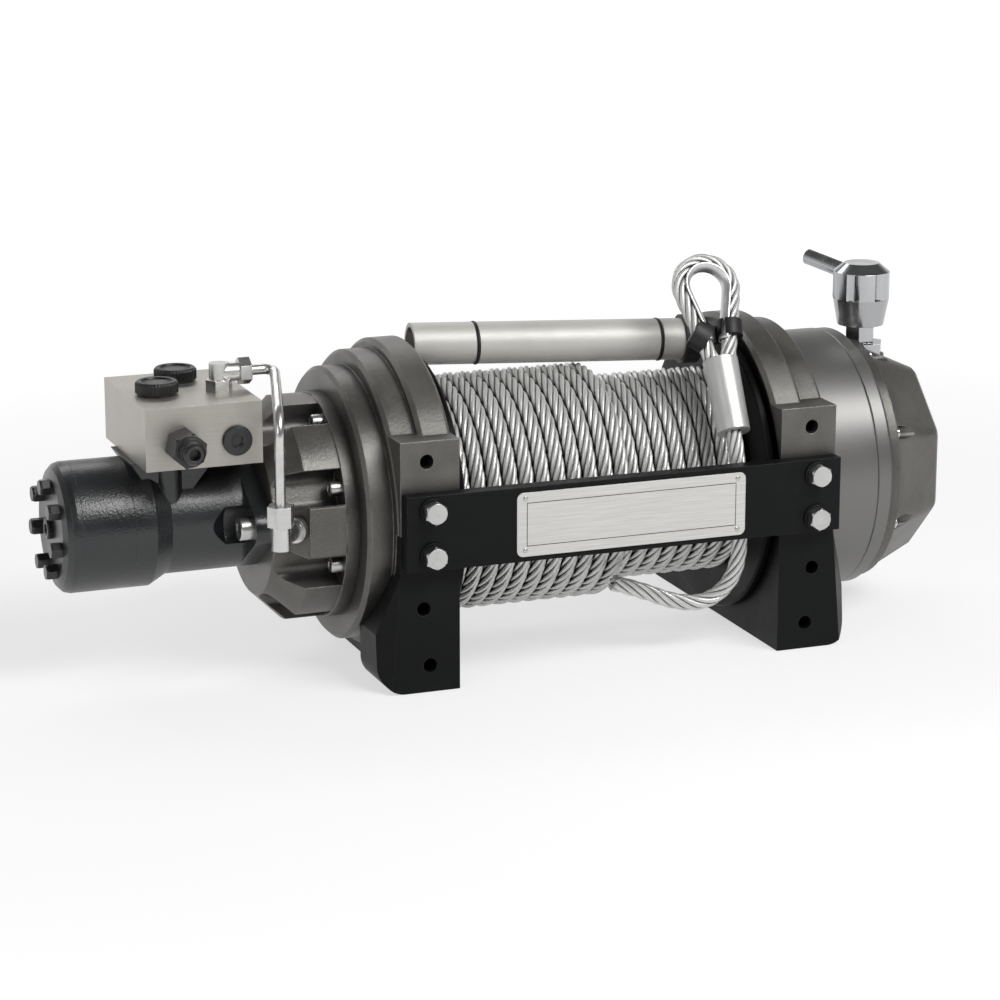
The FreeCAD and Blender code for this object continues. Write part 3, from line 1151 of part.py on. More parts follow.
def make_tube_and_rope_end():
    """Tube over the drum, and the rope's end that a strap ties to it: ferrule, eye and thimble."""
    half = val("rope_diameter") / 2
    left = round_drum("tube_left_short - drum_inside / 2", TUBE_LEFT, "tube_left_turn")
    right = round_drum("drum_inside / 2 - tube_right_short", TUBE_RIGHT, "tube_right_turn")
    make_tube(left, right)
    base = round_drum("drum_inside / 2 - ferrule_inset",
                      "winding_radius + ferrule_radius + ferrule_lift", "ferrule_turn")
    crown = round_drum("drum_inside / 2 - crown_inset", "winding_radius + crown_lift", "crown_turn")
    up = (crown - base).normalize()
    wide = up.cross(Vec(0, 0, 1)).normalize()
    top = base + up * val("ferrule_length")
    ferrule = doc.addObject("Part::Feature", "ferrule_bar")
    ferrule.Shape = Part.makeCone(val("ferrule_radius"), val("ferrule_top_radius"),
                                  val("ferrule_length"), base, up).cut(
        Part.makeCylinder(half + val("ferrule_socket_gap"), val("ferrule_socket"), base, up))
    made(ferrule, "rope_ferrule")
    below = Part.makeBox(8 * half, 8 * half, 8 * half, Vec(-4 * half, -4 * half, -8 * half))
    below.Placement = FreeCAD.Placement(top, FreeCAD.Rotation(wide, up.cross(wide), up, "ZXY"))
    eye = swept("eye_bar", eye_wire(top, up, wide, 0, -half), half)
    eye.Shape = eye.Shape.cut(below)
    made(eye, "rope_eye")
    thimble = make_thimble(top, up, wide, eye.Shape)
    make_strap(top, up, wide, eye.Shape.fuse(thimble.Shape), (left, right))
    over = "winding_radius + rope_diameter / 2 + %s"
    wire, radii = route([base + up * val("ferrule_socket"), base - up * val("tail_start")]
                        + [round_drum("drum_inside / 2 - %s" % inset, over % lift, "(%s)" % turn)
                           for inset, lift, turn in TAIL])
    print("rope tail radii:", [round(radius, 1) for radius in radii])
    made(swept("tail_bar", wire, half), "rope_tail")


make_drum()
for support_side in (-1, 1):
    make_support(support_side)
    make_foot(support_side)
make_plate()
make_bell()
make_gearbox()
make_clutch()
make_motor()
make_block()
make_brake_line()
make_tube_and_rope_end()
doc.recompute()

for item in doc.Objects:
    if "Invalid" in item.State or "Error" in item.State:
        raise RuntimeError("%s did not compute: %s" % (item.Name, item.State))
for piece in MADE:
    if piece.Shape.isNull() or not piece.Shape.isValid():
        raise RuntimeError("%s has no valid shape" % piece.Label)
for piece in MADE:
    piece.Shape.exportStep("parts/%s.step" % piece.Label)
    print(piece.Label, len(piece.Shape.Solids), round(piece.Shape.Volume / 1000, 1))
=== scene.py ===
import json
import math

import bpy
import numpy as np
from mathutils import Matrix


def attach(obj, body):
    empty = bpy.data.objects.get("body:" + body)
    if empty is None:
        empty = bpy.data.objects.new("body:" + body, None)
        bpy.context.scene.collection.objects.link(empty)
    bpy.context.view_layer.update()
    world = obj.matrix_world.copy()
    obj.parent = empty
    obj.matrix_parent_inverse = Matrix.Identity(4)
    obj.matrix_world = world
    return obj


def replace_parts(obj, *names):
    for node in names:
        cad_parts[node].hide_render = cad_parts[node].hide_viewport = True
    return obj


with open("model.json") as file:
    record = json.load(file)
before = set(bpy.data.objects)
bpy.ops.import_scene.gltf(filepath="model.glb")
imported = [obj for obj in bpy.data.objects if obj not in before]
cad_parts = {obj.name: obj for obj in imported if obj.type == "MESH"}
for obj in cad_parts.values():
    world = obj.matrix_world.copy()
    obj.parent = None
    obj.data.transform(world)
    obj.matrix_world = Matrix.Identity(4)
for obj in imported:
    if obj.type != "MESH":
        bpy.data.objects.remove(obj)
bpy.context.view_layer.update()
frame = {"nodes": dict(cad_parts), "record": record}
NODES = frame["nodes"]

# Sizes of the winch's own pieces, in metres
AXIS = 0.124
ROPE = 0.013
STRAND_COUNT = 6
STRAND = 0.00222
STRAND_ORBIT = 0.00428
LAY = 0.074
DRUM_HALF = 0.1257
BARREL_RADIUS = 0.054
FULL_RADIUS = 0.094
LOW_RADIUS = 0.083
FULL_TURNS = 11
LOW_TURNS = 8
ALL_TURNS = FULL_TURNS + LOW_TURNS
TURN_PITCH = 2 * DRUM_HALF / ALL_TURNS
FULL_END = -DRUM_HALF + FULL_TURNS * TURN_PITCH
JOG = 1 / 6
JOG_END = math.radians(-20)
WINDING_STEP = 0.0045
CORE_DEPTH = 0.001
PLATE_FRONT = -0.132
PLATE_BOLT_X = 0.1595
WASHER = 0.002
NAMEPLATE_FRONT = -0.1332
NAMEPLATE_MIDDLE = (0.0025, 0.1279)
RULE_HALF = (0.0868, 0.0168)
RIVET_X = (-0.0858, 0.0908)
RIVET_Z = (0.1077, 0.1483)
BLOCK_FRONT = -0.06
BLOCK_MIDDLE = 0.195
BLOCK_TOP = 0.224
RIBS = 20
RIB_DEPTH = 0.0007
TUBE_LEFT = np.array([-0.1237, 0.02004, 0.24064])
TUBE_RIGHT = np.array([0.1097, 0.0, 0.23155])
TUBE_RADIUS = 0.01675
GROOVES = (0.0525, 0.0295)

LEFTWARD = (-1, 0, 0)
RIGHTWARD = (1, 0, 0)
FORWARD = (0, -1, 0)
BACKWARD = (0, 1, 0)
UPWARD = (0, 0, 1)
COS_30 = math.cos(math.pi / 6)


# Shapes

def unit(vectors):
    """The vectors, each divided by its own length."""
    vectors = np.asarray(vectors, float)
    return vectors / np.linalg.norm(vectors, axis=-1, keepdims=True)


def circle(sides):
    """Angles at equal steps round a full circle, in radians."""
    return np.arange(sides) * math.tau / sides


def linked(name, data):
    """An object that shows the data, in the scene."""
    item = bpy.data.objects.new(name, data)
    bpy.context.scene.collection.objects.link(item)
    return item


def put(name, shape, slot, body="frame", smooth=True, uv=None, finish=None):
    """A mesh piece from its points and quads. It rides on a body and takes the finish of the slot it is
    given unless another one is named. A quad that has lost a corner repeats it, and goes in as a
    triangle; one that has lost two is left out."""
    points, faces = np.asarray(shape[0], float), np.asarray(shape[1], int)
    fresh = faces != np.roll(faces, 1, axis=1)
    kept = fresh.sum(axis=1) > 2
    faces, fresh = faces[kept], fresh[kept]
    totals = fresh.sum(axis=1)
    corners = faces[fresh]
    mesh = bpy.data.meshes.new(name)
    mesh.vertices.add(len(points))
    mesh.vertices.foreach_set("co", points.ravel())
    mesh.loops.add(len(corners))
    mesh.loops.foreach_set("vertex_index", corners)
    mesh.polygons.add(len(totals))
    mesh.polygons.foreach_set("loop_start", np.cumsum(totals) - totals)
    mesh.polygons.foreach_set("use_smooth", np.full(len(totals), smooth))
    if uv is not None:
        layer = mesh.uv_layers.new(name="UVMap")
        layer.data.foreach_set("uv", np.asarray(uv, float)[corners].ravel())
    mesh.update(calc_edges=True)
    mesh.validate()
    mesh.materials.append(FINISHES[finish or slot])
    piece = linked(name, mesh)
    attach(piece, body)
    return piece


def grid_faces(rows, columns, around_columns=False):
    """The quads between neighbours of a grid: point (i, j) joins (i+1, j), (i+1, j+1) and (i, j+1)."""
    i, j = np.meshgrid(np.arange(rows - 1), np.arange(columns if around_columns else columns - 1),
                       indexing="ij")
    below, right = i + 1, (j + 1) % columns
    quads = [i * columns + j, below * columns + j, below * columns + right, i * columns + right]
    return np.stack(quads, axis=-1).reshape(-1, 4)


def welded(points, faces):
    """Points that lie in the same hundredth of a millimetre become one."""
    points = np.asarray(points, float).reshape(-1, 3)
    first, index = np.unique(np.round(points * 1e5).astype(np.int64), axis=0,
                             return_index=True, return_inverse=True)[1:]
    return points[first], index.reshape(-1)[np.asarray(faces)]


def lathe(profile, start, along, across, sides, six=None):
    """Each profile point (radius, height) is carried round the axis: start + along * height
    + radius * (across * cos t + other * sin t). Where six is true for a point, its radius is
    that of a hexagon's wall, radius * cos 30 / cos(t mod 60 - 30). The points are then welded."""
    along, across = unit(along), unit(across)
    other = np.cross(along, across)
    turn = circle(sides)
    profile = np.asarray(profile, float)
    share = np.ones((len(profile), sides))
    if six is not None:
        share[np.asarray(six, bool)] = COS_30 / np.cos(np.mod(turn, math.pi / 3) - math.pi / 6)
    radius = profile[:, :1] * share
    ring = np.cos(turn)[:, None] * across + np.sin(turn)[:, None] * other
    points = np.asarray(start, float) + profile[:, 1, None, None] * along + radius[:, :, None] * ring
    return welded(points, grid_faces(len(profile), sides, around_columns=True))


def joined(shapes):
    """Several lists of points and faces as one."""
    starts = np.cumsum([0] + [len(points) for points, _ in shapes])
    return (np.concatenate([points for points, _ in shapes]),
            np.concatenate([faces + start for (_, faces), start in zip(shapes, starts)]))


# Materials

MIX_SHARE, MIX_FIRST, MIX_SECOND, MIX_RESULT = 0, 6, 7, 2
MIDDLING = (0.3, 0.7)
FEW_SAMPLES = 4


class Graph:
    """Short calls that add nodes to a shader tree and join them."""

    def __init__(self, tree):
        self.tree = tree
        self.coordinates = tree.nodes.new("ShaderNodeTexCoord").outputs

    def feed(self, socket, value):
        """A link into a socket, or its own value."""
        if isinstance(value, bpy.types.NodeSocket):
            self.tree.links.new(value, socket)
        else:
            socket.default_value = value

    def fill(self, made, inputs):
        """Several of a node's inputs by name, where an underscore stands for a space."""
        for key, value in inputs.items():
            self.feed(made.inputs[key.replace("_", " ")], value)

    def node(self, kind, **inputs):
        """A new node of a kind with its inputs filled."""
        made = self.tree.nodes.new("ShaderNode" + kind)
        self.fill(made, inputs)
        return made

    def maths(self, operation, *values):
        """One step of arithmetic on its values."""
        made = self.node("Math")
        made.operation = operation
        for socket, value in zip(made.inputs, values):
            self.feed(socket, value)
        return made.outputs[0]

    def between(self, value, low, high, start=0.0, end=1.0, smooth=True):
        """From start where the value is low or less to end where it is high or more."""
        made = self.node("MapRange", Value=value, From_Min=low, From_Max=high, To_Min=start, To_Max=end)
        made.interpolation_type = "SMOOTHSTEP" if smooth else "LINEAR"
        return made.outputs["Result"]

    def part(self, axis, vector):
        """One of a vector's three numbers."""
        return self.node("SeparateXYZ", Vector=vector).outputs[axis]

    def seen(self):
        """1 for rays from the camera, off a gloss or through glass, and 0 for the others."""
        path = self.node("LightPath").outputs
        return self.maths("MAXIMUM", path["Is Camera Ray"],
                          self.maths("MAXIMUM", path["Is Glossy Ray"], path["Is Transmission Ray"]))


class Finish(Graph):
    """A material with a Principled shader, and short calls for what feeds it."""

    def __init__(self, name):
        self.material = bpy.data.materials.new(name)
        self.material.use_nodes = True
        super().__init__(self.material.node_tree)
        self.shader = self.tree.nodes["Principled BSDF"]
        self.place = self.coordinates["Object"]

    def noise(self, scale, detail=3.0, roughness=0.55, vector=None):
        """Smooth noise of 0 to 1 with this many features to the metre."""
        made = self.node("TexNoise", Vector=vector or self.place, Scale=scale, Detail=detail,
                         Roughness=roughness)
        return made.outputs["Fac"]

    def streaks(self, scale, detail=3.0, roughness=0.6):
        """Noise whose number of features to the metre differs by axis."""
        stretched = self.node("Mapping", Vector=self.place, Scale=scale).outputs["Vector"]
        return self.noise(1.0, detail, roughness, stretched)

    def blend(self, share, first, second):
        """first * (1 - share) + second * share, for colours."""
        made = self.node("Mix")
        made.data_type = "RGBA"
        self.feed(made.inputs[MIX_SHARE], share)
        self.feed(made.inputs[MIX_FIRST], first)
        self.feed(made.inputs[MIX_SECOND], second)
        return made.outputs[MIX_RESULT]

    def over(self, tone, share, amount, colour):
        """A tone with another colour laid over it, by share * amount."""
        return self.blend(self.maths("MULTIPLY", share, amount), tone, colour)

    def edges(self, radius, low=0.03, high=0.25):
        """How much the rounded normal leaves the true one, 1 on sharp edges and 0 on faces, and the
        rounded normal itself. The finishes paint edges paler by it: a painted highlight, in some of them
        partly worn paint too."""
        rounded = self.node("Bevel", Radius=radius)
        rounded.samples = FEW_SAMPLES
        dot = self.node("VectorMath")
        dot.operation = "DOT_PRODUCT"
        self.feed(dot.inputs[0], rounded.outputs[0])
        self.feed(dot.inputs[1], self.node("NewGeometry").outputs["True Normal"])
        off = self.maths("SUBTRACT", 1.0, dot.outputs["Value"])
        return self.between(off, low, high), rounded.outputs[0]

    def hollow_shade(self, distance, low=0.55, high=0.95):
        """1 deep in corners and recesses and 0 on open faces: the mask by which shade is painted into the
        colour.
        """
        made = self.node("AmbientOcclusion", Distance=distance)
        made.samples = FEW_SAMPLES
        return self.between(made.outputs["AO"], low, high, start=1.0, end=0.0)

    def uneven(self, noise, rough, less, more):
        """Roughness that goes from rough - less to rough + more with a noise."""
        return self.between(noise, *MIDDLING, start=rough - less, end=rough + more)

    def bump(self, height, distance, normal=None, strength=1.0):
        """The normal, tilted by a height of this many metres."""
        made = self.node("Bump", Height=height, Distance=distance, Strength=strength)
        if normal is not None:
            self.feed(made.inputs["Normal"], normal)
        return made.outputs[0]

    def set(self, **inputs):
        """The material, with its shader's inputs filled."""
        self.fill(self.shader, inputs)
        return self.material


def grey(value, tint=(1.0, 1.0, 1.0)):
    """A grey times a tint."""
    return tuple(value * share for share in tint) + (1.0,)


def times(colour, factor):
    """A colour times a factor, with no share over 1."""
    return tuple(min(1.0, share * factor) for share in colour[:3]) + (1.0,)


def cast_paint(name, body, edge, rough, grain, wear_and_sheen):
    """Metallic paint on a sand casting: pebbled grain, slow patches of tone, painted shade darkening the
    corners and recesses, and edges painted bright, partly worn paint and partly a painted highlight."""
    f = Finish(name)
    mask, rounded = f.edges(radius=0.0014, low=0.02, high=0.2)
    patches = f.noise(scale=26.0, detail=4.0)
    fine = f.noise(scale=1150.0, detail=2.0, roughness=0.6)
    pebbles = f.noise(scale=420.0, detail=3.0, roughness=0.6)
    scuffs = f.between(f.noise(scale=130.0, detail=4.0), low=0.35, high=0.65, start=0.3)
    tone = f.blend(f.between(patches, *MIDDLING), times(body, 0.8), times(body, 1.22))
    tone = f.over(tone, f.between(fine, low=0.45, high=0.7), 0.35, times(body, 1.7))
    # painted shade: the colour goes dark in corners and recesses, where shade falls
    tone = f.over(tone, f.hollow_shade(distance=0.014), 0.7, times(body, 0.22))
    # edges painted bright: partly worn paint, partly a painted highlight
    tone = f.over(tone, f.maths("MULTIPLY", mask, scuffs), wear_and_sheen, edge)
    height = f.maths("ADD", f.maths("MULTIPLY", pebbles, 0.7), f.maths("MULTIPLY", fine, 0.3))
    return f.set(Base_Color=tone, Metallic=0.6, Roughness=f.uneven(patches, rough, less=0.05, more=0.07),
                 Normal=f.bump(height, grain, rounded), Specular_IOR_Level=0.6)


def turned_paint(name, body, rough):
    """Metallic paint on a turned housing: fine rings round the drum's axis under a smooth coat."""
    f = Finish(name)
    mask, rounded = f.edges(radius=0.0008)
    rings = f.streaks(scale=(900.0, 6.0, 6.0), detail=2.0, roughness=0.5)
    fine = f.noise(scale=1500.0, detail=1.0)
    patches = f.noise(scale=9.0)
    tone = f.blend(f.between(patches, *MIDDLING), body, times(body, 1.12))
    tone = f.over(tone, f.between(fine, low=0.5, high=0.75), 0.25, times(body, 1.5))
    # painted highlight: every edge painted paler
    tone = f.over(tone, mask, 0.4, grey(0.5))
    height = f.maths("ADD", f.maths("MULTIPLY", rings, 0.5), f.maths("MULTIPLY", fine, 0.5))
    return f.set(Base_Color=tone, Metallic=0.75, Roughness=f.uneven(patches, rough, less=0.0, more=0.06),
                 Normal=f.bump(height, 0.00002, rounded))


def dark_paint(name, body, rough, peel, wear_and_sheen, shine):
    """Dark paint with orange peel, paler on edges, partly as paint worn thin and partly as a painted
    highlight, with a little dust in its tone.
    """
    f = Finish(name)
    mask, rounded = f.edges(radius=0.0009)
    patches = f.noise(scale=18.0, detail=5.0)
    skin = f.noise(scale=560.0, detail=2.0, roughness=0.4)
    scuffs = f.noise(scale=90.0, detail=6.0, roughness=0.7)
    dusty = tuple(share * 1.5 + 0.002 for share in body[:3]) + (1.0,)
    tone = f.blend(f.between(patches, low=0.4, high=0.75), body, dusty)
    # edges painted paler: partly worn paint, partly a painted highlight
    worn_edge_and_sheen = f.maths("MULTIPLY", mask, f.between(scuffs, low=0.4, high=0.62, start=0.2))
    tone = f.over(tone, worn_edge_and_sheen, wear_and_sheen, grey(0.3, (0.95, 1.0, 1.06)))
    roughness = f.maths("ADD", f.between(patches, low=0.3, high=0.75, start=rough - 0.06, end=rough + 0.06),
                        f.maths("MULTIPLY", f.between(scuffs, low=0.55, high=0.75), 0.08))
    return f.set(Base_Color=tone, Metallic=0.0, Roughness=roughness, Normal=f.bump(skin, peel, rounded),
                 Specular_IOR_Level=shine)


def brushed(name, body, rough, axis, grain, marks, metal):
    """Metal brushed along one axis: long fine streaks in tone, gloss and height."""
    f = Finish(name)
    mask, rounded = f.edges(radius=0.0005)
    scale = [1800.0, 1800.0, 1800.0]
    scale[axis] = 22.0
    streak = f.streaks(scale)
    patches = f.noise(scale=30.0, detail=4.0)
    tone = f.over(body, f.between(streak, low=0.35, high=0.65), 0.5 * marks, times(body, 1.3))
    tone = f.over(tone, f.between(patches, low=0.45, high=0.75), 0.25, times(body, 0.72))
    # painted highlight: every edge painted paler
    tone = f.over(tone, mask, 0.35, grey(0.85))
    return f.set(Base_Color=tone, Metallic=metal, Roughness=f.uneven(streak, rough, less=0.06, more=0.08),
                 Normal=f.bump(streak, grain, rounded))


def plated(name, body, rough, spots):
    """Plated steel: a smooth bright skin with small dull spots and faint handling marks."""
    f = Finish(name)
    mask, rounded = f.edges(radius=0.0005)
    marks = f.noise(scale=260.0, detail=5.0, roughness=0.65)
    patches = f.noise(scale=70.0, detail=4.0)
    tone = f.over(body, f.between(marks, low=0.5, high=0.72), spots, times(body, 0.6))
    # painted highlight: every edge painted paler
    tone = f.over(tone, mask, 0.3, grey(0.9))
    return f.set(Base_Color=tone, Metallic=1.0, Roughness=f.uneven(patches, rough, less=0.04, more=0.1),
                 Normal=f.bump(marks, 0.000015, rounded))


def wire_finish(name, body, rough, wires=11.0, per_metre=200.0):
    """Steel wires of a strand: tone and bump follow the strand's own map, as the size of the sine of
    pi * (wires * turns across - per_metre * metres along), so the wires lean along the strand. Painted
    shade darkens the creases between wires, and deeply darkens the strand between its neighbours."""
    f = Finish(name)
    uv = f.coordinates["UV"]
    lean = f.maths("ADD", f.maths("MULTIPLY", f.part(1, uv), wires),
                   f.maths("MULTIPLY", f.part(0, uv), -per_metre))
    wave = f.maths("ABSOLUTE", f.maths("SINE", f.maths("MULTIPLY", lean, math.pi)))
    patches = f.noise(scale=48.0, detail=4.0)
    # painted shade: the tone is darker in the creases between wires
    tone = f.blend(f.between(wave, low=0.0, high=0.5), times(body, 0.72), body)
    tone = f.over(tone, f.between(patches, low=0.45, high=0.8), 0.35, times(body, 0.62))
    # painted shade: near black deep between a strand and its neighbours
    tone = f.blend(f.hollow_shade(distance=0.004, low=0.35, high=0.8), tone, times(body, 0.05))
    return f.set(Base_Color=tone, Metallic=0.6, Roughness=f.uneven(patches, rough, less=0.05, more=0.1),
                 Normal=f.bump(wave, 0.00005, strength=0.6))


def core_shade_finish(name, body):
    """The rope under the outer strands, painted near black as the shade under them, in rows along the turns.
    """
    f = Finish(name)
    rows = f.streaks(scale=(520.0, 160.0, 160.0))
    tone = f.blend(f.between(rows, low=0.35, high=0.65), body, times(body, 3.0))
    return f.set(Base_Color=tone, Metallic=0.8, Roughness=0.6, Normal=f.bump(rows, 0.0004))


def moulded(name, body, rough):
    """Moulded plastic or rubber with a fine matt grain and edges painted dull and paler, partly worn and
    partly as a painted highlight.
    """
    f = Finish(name)
    mask, rounded = f.edges(radius=0.0006)
    grain = f.noise(scale=1400.0, detail=2.0)
    patches = f.noise(scale=60.0, detail=4.0)
    tone = f.blend(f.between(patches, low=0.4, high=0.8), body, times(body, 1.8))
    # edges painted paler: partly worn, partly a painted highlight
    tone = f.over(tone, mask, 0.25, grey(0.12))
    return f.set(Base_Color=tone, Roughness=f.uneven(patches, rough, less=0.06, more=0.08),
                 Normal=f.bump(grain, 0.00003, rounded))


def plate_finish(name, body, rough):
    """Brushed sheet with a thin dark rule a little inside its edge, where the greater of |x - middle|
    and |z - middle|, each less its half size, is near 0."""
    f = Finish(name)
    mask, rounded = f.edges(radius=0.0004)
    streak = f.streaks(scale=(26.0, 1500.0, 1500.0))
    x_off, z_off = (
        f.maths("SUBTRACT", f.maths("ABSOLUTE", f.maths("SUBTRACT", f.part(axis, f.place), middle)), half)
        for axis, middle, half in zip((0, 2), NAMEPLATE_MIDDLE, RULE_HALF))
    out = f.maths("MAXIMUM", x_off, z_off)
    rule = f.maths("MULTIPLY", f.between(out, low=-0.0004, high=-0.0002),
                   f.between(out, low=0.0002, high=0.0004, start=1.0, end=0.0))
    tone = f.blend(f.between(streak, *MIDDLING), body, times(body, 1.25))
    # painted highlight: every edge painted paler
    tone = f.over(tone, mask, 0.4, grey(0.85))
    tone = f.blend(rule, tone, grey(0.02))
    return f.set(Base_Color=tone, Metallic=f.between(rule, low=0.0, high=1.0, start=1.0, end=0.0),
                 Roughness=f.uneven(streak, rough, less=0.06, more=0.08),
                 Normal=f.bump(streak, 0.00001, rounded))


WARM = (1.0, 1.0, 0.98)
RECIPES = {
    # edge: colour of the casting's bright edges, partly worn paint and partly a painted highlight
    "grey_casting": (cast_paint, dict(body=grey(0.128, (1.03, 1.0, 0.92)), edge=grey(0.5), rough=0.38,
                                      grain=0.0003, wear_and_sheen=0.6)),
    "machined_grey": (turned_paint, dict(body=grey(0.19, (1.01, 1.0, 0.97)), rough=0.37)),
    "black_paint": (dark_paint, dict(body=grey(0.0045, (0.9, 1.0, 1.1)), rough=0.45, peel=0.00004,
                                     wear_and_sheen=0.25, shine=0.16)),
    "black_gloss": (dark_paint, dict(body=grey(0.0025), rough=0.4, peel=0.00003, wear_and_sheen=0.25, shine=0.1)),
    "wire_rope": (wire_finish, dict(body=grey(0.8, WARM), rough=0.4)),
    # painted shade: the rope under the outer strands is coloured near black
    "rope_core": (core_shade_finish, dict(body=grey(0.008))),
    "zinc": (plated, dict(body=grey(0.55, WARM), rough=0.3, spots=0.3)),
    "thimble_zinc": (brushed, dict(body=grey(0.66), rough=0.36, axis=2, grain=0.000012, marks=0.4,
                                   metal=0.8)),
    "stainless": (plate_finish, dict(body=grey(0.6, (1.0, 0.99, 0.96)), rough=0.38)),
    "motor_black": (dark_paint, dict(body=grey(0.011, (0.88, 1.0, 1.12)), rough=0.34, peel=0.0002,
                                     wear_and_sheen=0.35, shine=0.75)),
    "dark_bolts": (dark_paint, dict(body=grey(0.014), rough=0.33, peel=0.00002, wear_and_sheen=0.5, shine=0.6)),
    "block_steel": (brushed, dict(body=grey(0.42, (1.05, 1.0, 0.92)), rough=0.44, axis=0, grain=0.000012,
                                  marks=1.0, metal=0.85)),
    "black_plastic": (moulded, dict(body=grey(0.006), rough=0.36)),
    "bright_pipe": (plated, dict(body=grey(0.62, WARM), rough=0.28, spots=0.2)),
    "brushed_alloy": (brushed, dict(body=grey(0.6, (1.02, 1.0, 0.95)), rough=0.55, axis=0,
                                    grain=0.000008, marks=0.5, metal=0.45)),
    "alloy_ferrule": (brushed, dict(body=grey(0.72, WARM), rough=0.4, axis=2, grain=0.000008, marks=0.5,
                                    metal=0.7)),
    "strap_rubber": (moulded, dict(body=grey(0.005), rough=0.5)),
    "chrome": (plated, dict(body=grey(0.4, (0.99, 1.0, 1.02)), rough=0.13, spots=0.15)),
}
FINISHES = {name: recipe(name, **looks) for name, (recipe, looks) in RECIPES.items()}

SLOT_OF = {row["node"]: row["material_slot"] for row in frame["record"]["subparts"]}
for node_name, solid in NODES.items():
    solid.data.materials.clear()
    solid.data.materials.append(FINISHES[SLOT_OF[node_name]])


# Wire rope

def run_along(path):
    """The distance from a line's start to each of its points."""
    return np.concatenate([[0.0], np.cumsum(np.linalg.norm(np.diff(path, axis=0), axis=1))])


def strands(path, normals, phase=0.0, sides=10):
    """Six strands round a path. A strand's middle is path + orbit * (n cos a + b sin a), where a grows
    by a full turn each lay, n is the path's normal and b its binormal; its skin is a circle about
    that middle, square to the middle line. The map holds metres along the strand and turns across it."""
    path, normals = np.asarray(path, float), unit(normals)
    run = run_along(path)
    ahead = unit(np.gradient(path, axis=0))
    normals = unit(normals - (normals * ahead).sum(1, keepdims=True) * ahead)
    across = np.cross(ahead, normals)
    a = phase + run * math.tau / LAY + circle(STRAND_COUNT)[:, None]
    out = np.cos(a)[..., None] * normals + np.sin(a)[..., None] * across
    middle = path + STRAND_ORBIT * out
    side = np.cross(unit(np.gradient(middle, axis=1)), out)
    t = math.pi + np.arange(sides + 1) * math.tau / sides
    skin = (middle[:, :, None] + STRAND * (np.cos(t)[:, None] * out[:, :, None]
                                           + np.sin(t)[:, None] * side[:, :, None]))
    ends = np.broadcast_to(middle[:, [0, -1], None], (STRAND_COUNT, 2, sides + 1, 3))
    skin = np.concatenate([ends[:, :1], skin, ends[:, 1:]], axis=1)
    run = np.concatenate([run[:1], run, run[-1:]])
    count, length, ring = skin.shape[:3]
    faces = grid_faces(length, ring)[None] + (np.arange(count) * length * ring)[:, None, None]
    along = np.broadcast_to(run[None, :, None], (count, length, ring))
    turn = np.broadcast_to(np.arange(ring) / sides, (count, length, ring))
    return (skin.reshape(-1, 3), faces.reshape(-1, 4)), np.stack([along, turn], axis=-1).reshape(-1, 2)


def wound(first, last):
    """The rope's middle line on the drum from one turn to another, and its outward directions. Over the
    first five sixths of a turn x stays, and over the last sixth it moves on by one pitch, as
    3s^2 - 2s^3 of the share s of that stretch; after the last turn of the outer layer the radius drops
    to the lower layer's in the same way. The rope's last turn of all ends without moving on."""
    turns = np.linspace(first, last, int((last - first) * math.tau * FULL_RADIUS / WINDING_STEP))
    whole = np.minimum(np.floor(turns), last - 1)
    share = np.clip((turns - whole - 1 + JOG) / JOG, 0, 1)
    share = share * share * (3 - 2 * share)
    share = np.where(whole == ALL_TURNS - 1, 0, share)
    x = -DRUM_HALF + TURN_PITCH * (whole + 0.5 + share)
    radius = np.where(whole < FULL_TURNS, FULL_RADIUS, LOW_RADIUS) - ROPE / 2
    radius = radius - np.where(whole == FULL_TURNS - 1, (FULL_RADIUS - LOW_RADIUS) * share, 0)
    angle = JOG_END + turns * math.tau
    out = np.stack([np.zeros_like(x), np.cos(angle), np.sin(angle)], axis=1)
    middle = np.stack([x, np.zeros_like(x), np.full_like(x, AXIS)], axis=1)
    return out * radius[:, None] + middle, out


def make_winding():
    """The outer layer of rope over part of the drum, the layer under it beside it, and the rope below
    both as one stepped surface of revolution, painted dark as shade."""
    phase = 0.0
    layers = (("outer_turns", 0, FULL_TURNS), ("inner_turns", FULL_TURNS, ALL_TURNS))
    for name, first, last in layers:
        path, out = wound(first, last)
        shape, uv = strands(path, out, phase, sides=8)
        phase += run_along(path)[-1] * math.tau / LAY
        turns = put(name, shape, "wire_rope", "drum", uv=uv)
        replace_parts(turns, "rope_winding")
    full, low = FULL_RADIUS - ROPE / 2 - CORE_DEPTH, LOW_RADIUS - ROPE / 2 - CORE_DEPTH
    profile = [(BARREL_RADIUS, -DRUM_HALF), (full, -DRUM_HALF), (full, FULL_END - 0.0008),
               (low, FULL_END - 0.0004), (low, DRUM_HALF), (BARREL_RADIUS, DRUM_HALF)]
    shape = lathe(profile, (0, 0, AXIS), RIGHTWARD, BACKWARD, 96)
    # the rope below the strands is painted near black, as the shade under them
    core = put("rope_below", shape, "wire_rope", "drum", finish="rope_core")
    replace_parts(core, "rope_winding")


def smooth_line(name, route, samples=24):
    """Points along the NURBS curve of order 3 that a route steers, from its first point to its last."""
    data = bpy.data.curves.new(name, "CURVE")
    data.dimensions = "3D"
    data.resolution_u = samples
    spline = data.splines.new("NURBS")
    spline.points.add(len(route) - 1)
    spline.points.foreach_set("co", np.column_stack([route, np.ones(len(route))]).ravel())
    spline.order_u = 3
    spline.use_endpoint_u = True
    line = linked(name, data)
    bpy.context.view_layer.update()
    mesh = bpy.data.meshes.new_from_object(line)
    found = np.empty(3 * len(mesh.vertices), np.float32)
    mesh.vertices.foreach_get("co", found)
    bpy.data.objects.remove(line)
    bpy.data.curves.remove(data)
    bpy.data.meshes.remove(mesh)
    return found.reshape(-1, 3).astype(float)


